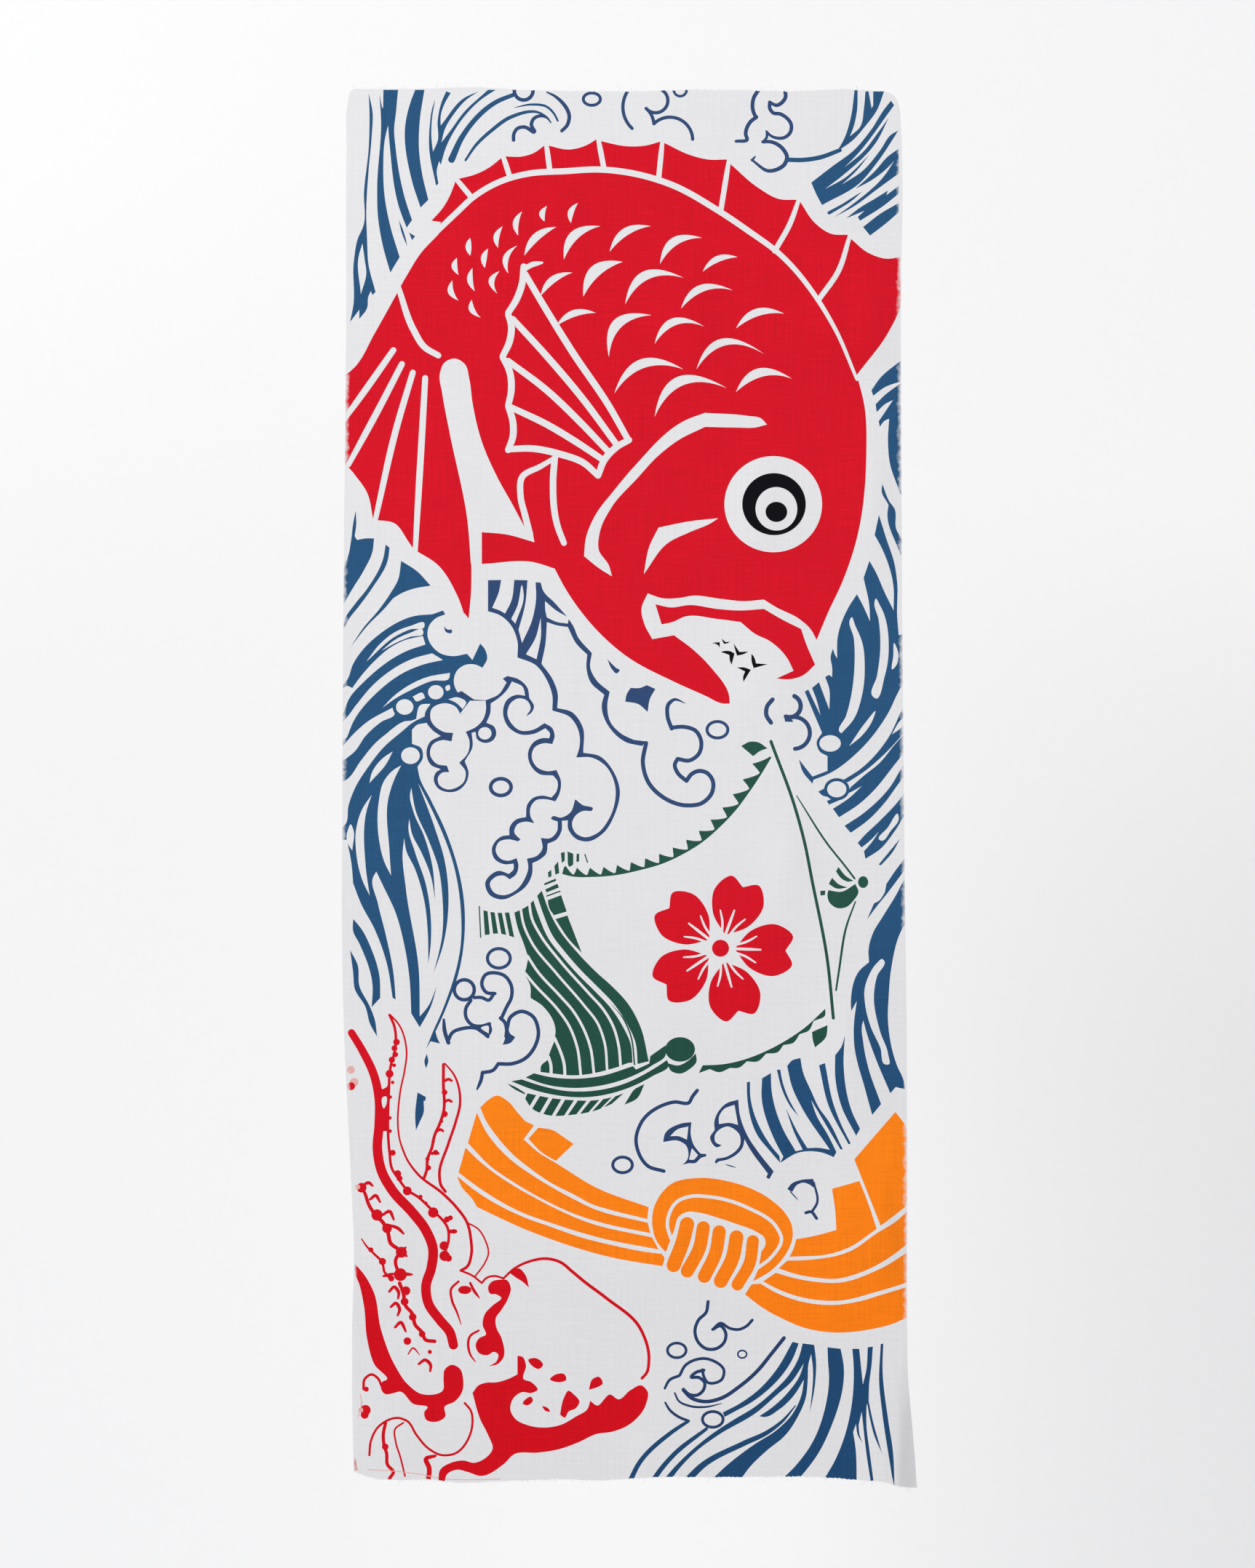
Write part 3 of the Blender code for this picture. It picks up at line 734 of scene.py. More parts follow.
def drawHull():
    patch("green", [(-73, 531, 1), (-65, 527), (-55.3, 516.8, 1), (-50.5, 530), (-43.5, 543), (-33, 556),
        (-19.5, 570), (-10, 578.5), (0.5, 590), (8.3, 604.5), (13.7, 626.8, 1), (7, 628.5, 1), (2, 627.8),
        (-6, 630.5), (-36, 636), (-48, 634.8), (-56, 633.8, 1), (-55.8, 630), (-51.5, 626, 1), (-50, 621),
        (-47, 613.5, 1), (-46.5, 606), (-55, 591), (-62.5, 586, 1), (-62.8, 578), (-66.8, 570, 1),
        (-65.5, 567.5, 1), (-64, 560, 1), (-67, 551), (-71, 540)])
    for gap, width in (
        ([(-60, 520), (-56, 532), (-49.5, 547), (-41.5, 557.5), (-31, 569.5), (-20.5, 580), (-10, 591),
        (-2, 603), (3.5, 615), (5, 630)], 3.2),
        ([(-63.5, 524), (-61.7, 534.6), (-56.5, 545), (-43.3, 562.5), (-25, 583), (-15.6, 593.5), (-9, 605),
        (-5.7, 617), (-4.4, 631)], 1.7),
        ([(-69, 528), (-67, 538.6), (-61.7, 550.4), (-46, 570), (-27.5, 591.5), (-19.5, 602), (-15, 614),
        (-13, 634)], 1.6),
        ([(-64.5, 559), (-59, 567.6), (-43.3, 585), (-35.4, 594), (-28.8, 605), (-24.2, 617), (-21.5, 636)],
        1.7),
        ([(-67, 569), (-60.4, 577), (-44.6, 594), (-38, 603.5), (-32.7, 617), (-30, 637)], 1.7),
        ([(-47, 612), (-43.5, 620), (-41, 628), (-40.3, 637)], 1.9),
        ([(-51, 624), (-49.5, 629), (-49.3, 636)], 2),
    ):
        brush("white", gap, width)
    brush("green", [(-12, 588.5), (-3, 599), (2, 610), (4.6, 629)], 1, (0, 1))
    # stern
    patches("green",
        [(-51.5, 523, 1), (-42.8, 519.7, 1), (-39.2, 530.3, 1), (-47.5, 532.7, 1), (-50.5, 528)],
        [(-46.5, 535.2, 1), (-38.8, 532.8, 1), (-29.5, 557, 1), (-38, 548)])
    brush("green", [(-52, 520.3), (-43.6, 517.2)], 0.9)
    patches("green",
        [(-53, 516, 1), (-45.2, 512.3, 1), (-44.2, 514.8, 1), (-52.3, 518, 1)],
        [(-53.5, 512, 1), (-46.3, 509, 1), (-46, 510.5, 1), (-53.8, 513.5, 1)],
        [(-51.3, 505, 1), (-49.2, 503.3, 1), (-49, 507.5, 1), (-51, 508.5, 1)],
        [(-47.2, 501, 1), (-44.8, 498, 1), (-44, 505.5, 1), (-46.5, 506.5, 1)],
        [(-43, 492.5, 1), (-40.5, 491.8, 1), (-40.5, 497.5, 1), (-42.3, 499, 1)],
        [(-38.8, 491.5, 1), (-35, 493, 1), (-35, 500, 1), (-37, 501.3)],
        [(-32.8, 493, 1), (-31.2, 493, 1), (-31.2, 498, 1), (-33, 498.3, 1)])
    brush("green", [(-27.5, 493.5), (-25.8, 498.5)], 0.8)
    bars("green", [(-93, 529.5), (-85, 531), (-74.5, 530.8)], [(-92, 545.5), (-84, 544.5), (-71, 547.5)], 4,
        0.62)
    brush("green", [(-95.6, 527), (-94.7, 547)], 0.8)
    # keel
    patches("green",
        [(-65.7, 637.3, 1), (-60.4, 634.6, 1), (-50, 637), (-17, 636.4), (3.5, 630, 1), (5.5, 632.2, 1),
        (14, 628.3, 1), (14.7, 623.5, 1), (24.5, 616.5, 1), (24.5, 623), (16, 629.5), (-54, 641.5)],
        [(-75, 639.8, 1), (-68.3, 638.5, 1), (-56.5, 642.4), (-40.6, 645.9), (-6.4, 642.8), (18, 631),
        (25.5, 626, 1), (26.5, 629), (16, 636.5), (-24.8, 650), (-59, 645.8)])
    brush("green", [(-77.5, 641.3), (-66.5, 647.6)], 1.6, (0, 0.6))
    bars("green", [(-64.5, 647.5), (-50, 650.5), (-36, 652), (-20, 652), (-5, 648.5), (0, 646.5)],
        [(-66, 651), (-62, 657), (-52, 661.5), (-36, 661.5), (-20, 658.5), (-8, 653.5)], 8, 0.72)
    patch("green", [(11, 641.5, 1), (4, 645.5), (1, 650), (-2, 655, 1), (6, 651)])
    oval("green", (33.9, 619.2), 9.6, 7.9)
    patch("green", [(25.5, 628, 1), (33, 629.5), (39, 626.5), (44, 621.8, 1), (44.5, 627), (40, 632),
        (34, 634.8), (28, 633)])


def drawLowerFoam():
    ring("indigo", (-83, 560.5), 8.4, 7.3, 2.1)
    brush("indigo", [(-85.5, 583.2), (-91, 582.5), (-94, 577), (-92, 571.5), (-79, 572), (-75, 578),
        (-75, 586), (-78, 592), (-81.5, 599.5)], 2.3)
    ring("indigo", (-105.3, 580.8), 7.6, 7.6, 2.3)
    brushes("indigo",
        ([(-99, 585.8), (-94, 585.8), (-89.5, 587.5), (-86.3, 583.5)], 2.2),
        ([(-101, 587.5), (-104.3, 593), (-104, 599), (-100, 603.5), (-94, 604.2), (-89, 602.7)], 2.3))
    patch("indigo", [(-97, 604.5, 1), (-88.5, 601.8, 1), (-87.3, 607), (-90, 612, 1), (-97, 607.2, 1)])
    patch("white", [(-94.5, 605.3), (-89.8, 604), (-89.5, 609, 1)])
    brushes("indigo",
        ([(-116, 614.5), (-113, 608.5), (-106, 605.7), (-97, 605.8), (-90, 611)], 2.3),
        ([(-118.5, 600), (-118, 607), (-115.5, 615)], 2.6, (0.6, 1)),
        ([(-82, 599), (-79.3, 601.5), (-78, 606), (-78.3, 611)], 2.3))
    patch("indigo", [(-78.8, 606, 1), (-77, 604, 1), (-75.6, 609), (-72.3, 611.2, 1), (-75.5, 615),
        (-80.5, 616.3, 1), (-79, 612)])
    brushes("indigo",
        ([(-77.7, 606), (-75.5, 598.5), (-68.5, 594.7), (-61, 598), (-57.5, 607), (-66, 625), (-74, 628.3),
        (-83.5, 628.5)], 2.4),
        ([(-83.5, 628.8), (-86.5, 632.5), (-93, 634.2)], 2.3),
        ([(-93.5, 634), (-94.3, 638.5), (-97, 645)], 2.3, (1, 0.5)))


def drawTeeth():
    # small hooked marks in the open mouth
    for mark in (
        [(54.3, 357.1, 1), (57, 356.6), (59.6, 356.5, 1), (59.4, 360.1, 1), (58.3, 358.4), (56.8, 357.5)],
        [(60.8, 354.2, 1), (62, 355.3), (63.3, 356.4, 1), (66.4, 356.2, 1), (64.5, 357.2), (62.2, 357.6, 1),
        (61.4, 356)],
        [(60.1, 362.8, 1), (63, 362.1), (66.5, 362.4), (69, 363.8, 1), (67.2, 371, 1), (66.2, 369),
        (65.6, 364.7, 1)],
        [(68.3, 357.2, 1), (72.2, 362.8, 1), (78, 362.6, 1), (75, 364.2), (70.6, 365.2, 1), (69.6, 362)],
        [(70.5, 372.8, 1), (75, 372.8), (79.5, 374.3, 1), (74.7, 382.2, 1), (74.5, 379), (75.8, 375.5, 1),
        (73.5, 374.3)],
        [(79.9, 363.8, 1), (81.8, 366.5), (82.8, 370.2, 1), (90.3, 370.8, 1), (86, 372), (81.3, 373.3, 1),
        (80, 369)],
    ):
        patch("black", mark)


def drawOctopusArms():
    # the long arm that climbs the left selvage, and the line beside it with its suckers
    brush("red", [(-178, 608.5), (-171, 620), (-163.5, 636), (-160.3, 652), (-160.3, 668), (-161.3, 684),
        (-158.5, 698), (-151, 711), (-139, 724), (-130, 736), (-125.5, 748), (-126.5, 760), (-130, 772),
        (-128.5, 783), (-121, 794), (-114.5, 802), (-112.3, 810)], 6.4, (0.75, 0.95))
    patch("red", [(-161, 643, 1), (-158.5, 644.8), (-155.5, 643.5), (-153.6, 640, 1), (-154.7, 662),
        (-154, 672, 1), (-157.5, 672, 1), (-158.5, 677, 1), (-162, 676, 1)])
    patch("white", [(-157.8, 650), (-156, 649.5), (-155.7, 655), (-157, 657.3)])
    brush("red", [(-153.5, 597), (-150.5, 604), (-150.5, 622), (-152.5, 629), (-154, 648), (-153.5, 686),
        (-152, 696), (-147.5, 703), (-142, 710), (-135, 714.5), (-128, 721), (-115.5, 736.5), (-115.5, 743),
        (-117.5, 750), (-117.5, 754)], 1.8)
    drops("red", ((-149, 614.5, 2.2), (-150.3, 618.5, 2), (-149.8, 622.5, 1.9), (-152, 626, 2.1),
        (-150.5, 629.5, 1.3), (-153.5, 635, 2.6), (-151.5, 640.6, 1.2), (-153, 650, 1.2),
        (-153.3, 663.5, 1.2), (-153.2, 672, 1.3), (-151.5, 686, 2), (-148.3, 699.5, 2.4), (-147, 702.5, 2),
        (-142, 710.5, 2.9), (-133.5, 714.3, 1.4), (-130, 718.5, 1.2), (-125.3, 724.5, 3.4), (-116.5, 729, 2),
        (-114.3, 728, 1.7), (-112, 736.7, 1.6), (-118.3, 746, 3), (-118, 752.5, 3.4), (-115.5, 754, 2.3)))
    brushes("red",
        ([(-115, 736.8), (-111, 736.7)], 2.6),
        ([(-153, 597), (-148, 602.5), (-142.5, 621), (-143.8, 633), (-146.5, 646), (-146, 681),
        (-141.8, 691), (-135, 700)], 1.2),
        ([(-146, 681), (-141.8, 691), (-135, 700), (-119.5, 712), (-110.5, 721), (-103.5, 731), (-101, 742),
        (-100.8, 752), (-103.5, 759.5), (-107.5, 762)], 1.9, (0.6, 1)))
    # the second arm
    brush("red", [(-118.7, 629), (-118.8, 640), (-118.8, 660), (-121, 667), (-124.5, 675), (-126.3, 683),
        (-129, 690), (-129.5, 697), (-131.5, 703)], 2)
    for x, y, reach in ((-118, 639, 4.5), (-118, 652.5, 4.5), (-123, 671.5, 4), (-126, 686, 4)):
        brush("red", [(x, y + 0.6), (x + reach * 0.6, y - 0.5), (x + reach, y + 0.5)], 1.9, (1, 0.9))
    drops("red", ((-118, 647, 1.9), (-118, 661, 2.1), (-120, 665.7, 1.2), (-125.4, 678.7, 1.2),
        (-123.8, 685.8, 1.8), (-129, 690, 1.5), (-128.3, 695.7, 1.7)))
    brushes("red",
        ([(-117.8, 628.3), (-112, 635.5), (-108, 654), (-110.8, 666), (-115.5, 680), (-121.3, 701),
        (-120.3, 707), (-117.5, 711)], 1.8, (0.6, 1.1)),
        ([(-103, 731.3), (-96.5, 735), (-91.5, 743), (-89.7, 751), (-92, 757), (-98.5, 766)], 1.1))
    # hooked suckers between the arms
    brush("red", [(-171.5, 708), (-169, 713), (-167, 719), (-162.5, 726), (-157.5, 731), (-154.5, 737),
        (-152.8, 744), (-147, 749.5), (-149.5, 755), (-146.5, 766)], 2.6, (0.8, 0.8))
    drops("red", ((-171.5, 708.5, 3.2), (-161.5, 726, 3.7), (-155, 734.5, 3.2), (-145.8, 750, 3.6),
        (-146.5, 764.5, 4.2)))
    drops("paleRed", ((-178.5, 632.5, 2.6), (-176.3, 640.5, 2.8), (-174, 708, 1.6)))
    drops("red", ((-178.3, 643, 2.6),))
    for hook in (
        [(-170, 706.5), (-167, 705.3), (-164.3, 707.3)], [(-166, 716), (-162.5, 713.5), (-159.5, 717.7)],
        [(-158, 726), (-153.5, 723.6), (-150.6, 729)], [(-153.5, 732.5), (-148, 734.5), (-144.3, 738)],
        [(-146, 749), (-143, 747)], [(-145, 764), (-139, 764.5)], [(-142.5, 752.5), (-145, 750)],
        [(-151, 764), (-157.5, 765.5)], [(-153.7, 775.5), (-150.5, 772.5), (-147.6, 776), (-148, 780)],
        [(-152.7, 785.5), (-149.5, 783), (-147, 787), (-148.3, 791)],
        [(-150, 798.7), (-146.5, 795.5), (-143, 801.3)],
        [(-134.7, 822.3), (-130.5, 819.7), (-127, 823), (-127.3, 827)],
    ):
        brush("red", hook, 2.3, (0.7, 0.6))
    brush("red", [(-171.5, 741.5), (-168, 746.5), (-163.5, 751), (-158, 757), (-156.8, 762.5), (-152, 768)],
        1.7, (0.5, 1))
    drops("red", ((-158, 756, 2.4), (-165.5, 748.5, 1.7), (-152.3, 767, 2), (-142, 807.5, 2.5),
        (-127.5, 814.5, 1.4)))
    brush("red", [(-147, 770), (-144.5, 777), (-143.5, 784), (-138.8, 790), (-137, 797), (-132.5, 802),
        (-130.5, 806.5), (-124.3, 807.7)], 2.4)
    drops("red", ((-143, 775, 3), (-143.8, 782, 2.6), (-138.6, 792, 2.5), (-132.5, 803, 2.2)))
    brush("red", [(-141.5, 816), (-138.5, 812), (-134, 816.5)], 1.2, (0.7, 0.3))


def drawOctopusBody():
    # brow and back
    brushes("red",
        ([(-107.5, 762), (-100, 765.3), (-94, 770)], 1.4),
        ([(-94, 770), (-91, 766.8), (-86, 765.5), (-80, 767)], 1.4),
        ([(-80, 767), (-73, 760.7), (-63, 756), (-52, 754.3), (-43, 756.7), (-36, 762.3), (-28, 769),
        (-14, 779.5), (8, 799), (13.8, 820), (12.3, 828), (9.3, 831.5)], 2.1, (0.7, 0.9)))
    patch("red", [(-76, 763.5, 1), (-70, 760.5), (-66, 764.5), (-63.5, 773, 1), (-68, 769), (-72, 766.5)])
    # a plain eye and the mouth tube
    oval("red", (-105, 774.5), 4.3, 2.7)
    brushes("red",
        ([(-109, 769), (-113.8, 774), (-113.3, 781), (-110, 789), (-107.3, 797)], 1.7, (0.9, 0.3)),
        ([(-101.5, 770), (-99, 775), (-95.3, 780)], 2, (0.8, 0.3)))
    patch("red", [(-90, 773), (-88, 769.5), (-82, 767.8), (-78, 768), (-75.3, 773), (-77, 780), (-81, 787),
        (-85, 793), (-84.5, 799), (-81.5, 805), (-80.5, 819), (-84, 822.5), (-89.5, 823.7, 1),
        (-84.5, 820.5), (-83.5, 816), (-86, 814.5), (-90, 816.5), (-95.5, 815.5), (-98, 810), (-95.5, 805.5),
        (-91.5, 803.5), (-93.5, 797), (-92, 790), (-87, 784.5), (-81.5, 779.5), (-85, 777.3), (-88.5, 777)])
    brush("red", [(-96, 800.7), (-101.3, 804), (-101.5, 816), (-98, 821)], 1.7, (0.8, 0.4))
    # lower left arm
    patch("red", [(-176, 757.5, 1), (-171, 763), (-164, 775), (-159, 800), (-149.5, 824), (-142, 835),
        (-133, 841.5), (-119, 839), (-118.7, 831), (-118, 826), (-113.5, 822.8), (-108, 825.5), (-106, 832),
        (-107, 841), (-111.5, 846.5), (-118, 850), (-117.5, 856), (-123, 859.5), (-130, 858), (-131, 853),
        (-129, 850.5), (-138, 848), (-147, 840), (-151, 841), (-156.5, 841.5), (-159, 838), (-158, 833.5),
        (-155.5, 832.5), (-163, 823), (-168, 806), (-170, 785), (-173, 771), (-175.5, 764)])
    brush("red", [(-170.3, 838.5), (-169.5, 832), (-165, 829), (-161, 831.5), (-158.5, 836.5)], 1.7)
    drops("red", ((-168.5, 838.5, 1.7), (-169, 852, 3.4), (-169.5, 855, 2.6)))
    drops("paleRed", ((-172, 852, 1.6), (-177, 886, 1.2)))
    brush("paleRed", [(-174, 857), (-171.5, 847), (-172.5, 841)], 0.8, (0.5, 0.5))
    brushes("red",
        ([(-166.5, 881), (-165.5, 872), (-160.5, 862.5), (-147, 857), (-142, 859), (-136, 868), (-128, 877),
        (-120, 881), (-112, 880.3), (-100.3, 863), (-101.3, 852), (-105, 847.5)], 1.5),
        ([(-156, 860), (-157.5, 868), (-157, 874), (-155.3, 880), (-154.8, 887), (-151, 892), (-153.5, 896)],
        2.2))
    drops("red", ((-156.2, 875.5, 2.2),))
    brushes("red",
        ([(-144.5, 860), (-149.8, 864), (-149.5, 872), (-146.5, 882), (-143.5, 894.5)], 1.2),
        ([(-124, 881.5), (-130, 883.5), (-128, 889), (-128.8, 899)], 3.2, (0.6, 1)))
    brush("paleRed", [(-167.5, 890.3), (-150, 891.3), (-135, 893.2), (-120, 896), (-82, 896.6)], 0.5)
    patch("red", [(-175.6, 882, 1), (-174.8, 887.5), (-174.4, 890.8), (-176, 891), (-176.3, 887)])
    # belly
    patch("red", [(-100, 841, 1), (-96, 836), (-92, 834.5), (-84, 834), (-76, 831.5), (-71, 829, 1),
        (-71, 817, 1), (-68, 817.5), (-65.5, 823), (-67, 832), (-62, 834), (-58, 839), (-62, 841),
        (-68, 840.5), (-74, 845), (-75.5, 852), (-72, 858), (-65, 861.5), (-43, 861.5), (-33, 856),
        (-26, 851.5), (-24, 846, 1), (-20, 849), (-11, 842), (-6, 845), (2, 839), (9, 836), (13, 840),
        (12, 848), (0, 862), (-10, 866), (-20, 867.5), (-32, 873), (-45, 877.5), (-58, 879.5), (-73, 880.5),
        (-80, 887), (-95, 894.5), (-103, 892), (-110, 890.5), (-116, 893), (-118.5, 901, 1), (-122, 901, 1),
        (-120.5, 890), (-114, 886), (-106, 884.5), (-99, 886), (-87, 876.5), (-90, 868), (-95, 858)])
    for blot in (
        [(-64, 819.5), (-59, 818.5), (-54.5, 823), (-57, 825.5), (-61, 824)],
        [(-67.5, 848), (-62, 843.5), (-61, 845.5), (-65, 849)],
        [(-55, 849.5), (-51, 851), (-50, 853), (-53, 852.5)],
        [(-50, 832), (-46.3, 829), (-40.5, 829), (-39.5, 832.5), (-43, 834)],
        [(-25, 839, 1), (-22.5, 832), (-18.5, 830.5), (-16, 835), (-20, 837.5)],
        [(-43.5, 855, 1), (-42.5, 849), (-41, 844), (-38, 839.5), (-34.5, 842), (-31, 846.5), (-33.5, 851),
        (-38, 853), (-40.5, 857)],
    ):
        patch("red", blot)
    patch("blue", [(-135.5, 647, 1), (-130, 650, 1), (-130.5, 652.5, 1), (-131.5, 652.5, 1), (-131.5, 660),
        (-134, 666), (-136.5, 671.5, 1), (-137, 662)])


def drawRope():
    # the rope's left run, its fold and its knot
    patches("orange",
        [(-95, 656.7, 1), (-90, 652), (-84, 649), (-78, 652), (-70, 661), (-66, 665.5, 1), (-60.3, 668.3, 1),
        (-67, 677.3, 1), (-57, 686), (-46, 692.7), (-20, 708.5), (13.7, 721, 1), (12.7, 728.6, 1),
        (-12, 722.5), (-22, 719.5), (-35, 712.7), (-50, 705), (-62, 696.7), (-75, 686), (-85, 674.5),
        (-92, 664)],
        [(-64, 677, 1), (-57.5, 669.7, 1), (-48, 671.5), (-41, 676), (-34.8, 680.3, 1), (-46.2, 691.2, 1),
        (-55, 686)],
        [(-97.2, 660, 1), (-92, 671), (-74, 691.5), (-62, 700), (-35, 715.7), (-22, 722), (13, 731, 1),
        (14.8, 737.7, 1), (-15, 731.5), (-30, 727), (-60, 713), (-75, 704), (-88, 695), (-103, 679.7, 1)],
        [(-104.5, 682.7, 1), (-97, 690), (-55, 717.5), (-25, 731), (16, 740.5, 1), (20, 748.2, 1),
        (-15, 741.5), (-50, 731), (-68, 724.5), (-98, 707), (-109, 698.7, 1)],
        [(-110, 701, 1), (-98, 710.5), (-68, 727), (-50, 733.5), (-30, 740.5), (-10, 745.5), (10, 749.5),
        (22, 751, 1), (23.7, 753.5), (22.5, 759, 1), (-10, 753.5), (-50, 741.5), (-68, 734.5), (-97, 721, 1),
        (-100, 716), (-107, 708)],
        [(24.7, 750, 1), (19.8, 744.5), (17, 721.3), (28.2, 706), (46.4, 702.2), (63.2, 704), (92.6, 716.4),
        (101, 724), (105.9, 732.6), (106.6, 739), (99.6, 755), (92.6, 762), (81.4, 768.8, 1), (60, 770, 1)])
    brush("white", [(28, 741), (25.7, 732.6), (32.4, 717.1), (39.4, 714.3), (52, 714.3), (77.2, 721.3),
        (96.1, 734), (99.3, 741), (92.6, 753.6), (84, 760.3)], 2.2)
    patch("white", [(27, 744, 1), (30.3, 735), (33.1, 727), (38, 724.2), (46.4, 724.6), (57.6, 727.7),
        (70.2, 731.9), (82.8, 736.8), (88.4, 741), (89, 745), (86.3, 750, 1), (84.6, 760.5, 1), (81, 769, 1),
        (76, 778, 1), (25, 764, 1), (24.7, 750, 1)])
    for top, waist, foot, width in (
        ((38.4, 732), (36, 742), (29.8, 758.3), 9.2), ((48.9, 734.3), (46.5, 747), (38.6, 762.2), 8.5),
        ((59.2, 737), (57, 750), (49.6, 765.7), 8.5), ((70.3, 740.5), (68, 753), (60.2, 768.7), 9),
        ((80.9, 743), (78.8, 757), (71, 771), 7.8),
    ):
        brush("orange", [top, waist, foot], width)
    # the rope's right run
    patches("orange",
        [(146.3, 690.2, 1), (172.8, 659.6, 1), (177, 665), (184, 676, 1), (184, 717, 1), (175, 724),
        (163, 732.6, 1)],
        [(131.8, 709.1, 1), (149.5, 704, 1), (155, 718), (160.5, 734.7, 1), (143, 746.6), (131.8, 750.8),
        (104.5, 753.2, 1), (107.4, 747), (108.7, 741.8, 1), (120, 739.7), (134.6, 735.6, 1), (133.8, 722)],
        [(103.1, 755.5, 1), (113.6, 755.3), (144.4, 748.7), (161.2, 737), (173.8, 729.5), (184, 720, 1),
        (184, 742, 1), (172.4, 750.8), (147.2, 764.1), (134.6, 767.2), (122, 766.6), (108, 764.1),
        (97.5, 760.6, 1)],
        [(95.7, 763.4, 1), (108, 766.9), (122, 769.3), (136, 769.7), (164, 759.9), (184, 748, 1),
        (184, 768.5, 1), (164, 774.6), (136, 781.4), (108, 778.1), (96.8, 773.9), (87.4, 769, 1)],
        [(80, 770.9, 1), (85.6, 770.4, 1), (96.8, 776.7), (136, 784), (150, 781.7), (164, 777.4),
        (184, 771.5, 1), (184, 790.5, 1), (171, 796.4), (157, 799.9), (129, 801.7), (115, 799.2),
        (101, 793.6), (87, 785.9), (75.8, 777.4, 1)])


def drawKnotFoam():
    ring("indigo", (-3.2, 693.8), 7.3, 6, 2)
    brush("indigo", [(45, 645.7), (41.7, 650), (40, 653.3), (30, 653.2), (9.5, 665.5), (5.5, 677),
        (13.5, 694.7), (23.5, 697.8)], 2.3)
    patch("indigo", [(23, 679, 1), (24, 674), (35, 667), (41.2, 666.2, 1), (40.8, 674), (42.8, 681),
        (47, 686.5, 1), (50.8, 686.8, 1), (50.8, 688.3, 1), (47.5, 689.3), (44, 692.5), (39, 692.8),
        (35.5, 693.7, 1), (38.5, 690.5), (37.5, 681), (33, 678.3)])
    patches("white",
        [(39.3, 669, 1), (38.3, 677.5, 1), (33, 675.3), (27.5, 675.3, 1), (32, 671)],
        [(41.5, 683, 1), (45.5, 687.5, 1), (42.5, 690.5), (39.7, 690.3, 1)])
    patch("indigo", [(56.2, 671.3, 1), (56, 666), (64, 654), (71.5, 651.7, 1), (72.2, 660), (78, 676),
        (84, 685), (94.3, 698, 1), (91.5, 703, 1), (89.5, 702, 1), (90.5, 699.5, 1), (78, 682),
        (75.5, 677.3, 1), (74.5, 682), (64, 690.5), (59, 691.5, 1), (57, 693, 1), (56.2, 692, 1),
        (57.5, 689.8, 1), (64, 688.5), (72.8, 680), (72.5, 675), (64.5, 669), (56.3, 675), (56.7, 679),
        (60.8, 681.2, 1), (58, 682.5), (53.3, 676)])
    patch("white", [(69, 655, 1), (71.3, 668, 1), (66, 666.7), (59, 667.5, 1), (59, 663), (62, 658)])
    brush("indigo", [(63, 693.5), (70, 695.5)], 0.8, (0.3, 0.3))
    patch("indigo", [(103, 709.5, 1), (106, 705.8), (111.5, 703.6), (119.8, 702.8, 1), (120.8, 709, 1),
        (117.5, 706.6), (113.5, 705.3), (109.3, 706.8), (106.3, 711.2, 1)])
    brushes("indigo",
        ([(105, 711), (110.5, 717)], 0.8, (1, 0)),
        ([(120.3, 705), (122.2, 718.5), (119, 724)], 1.6, (0.7, 1.1)),
        ([(115, 724.7), (118.2, 724), (122, 728.3)], 2))


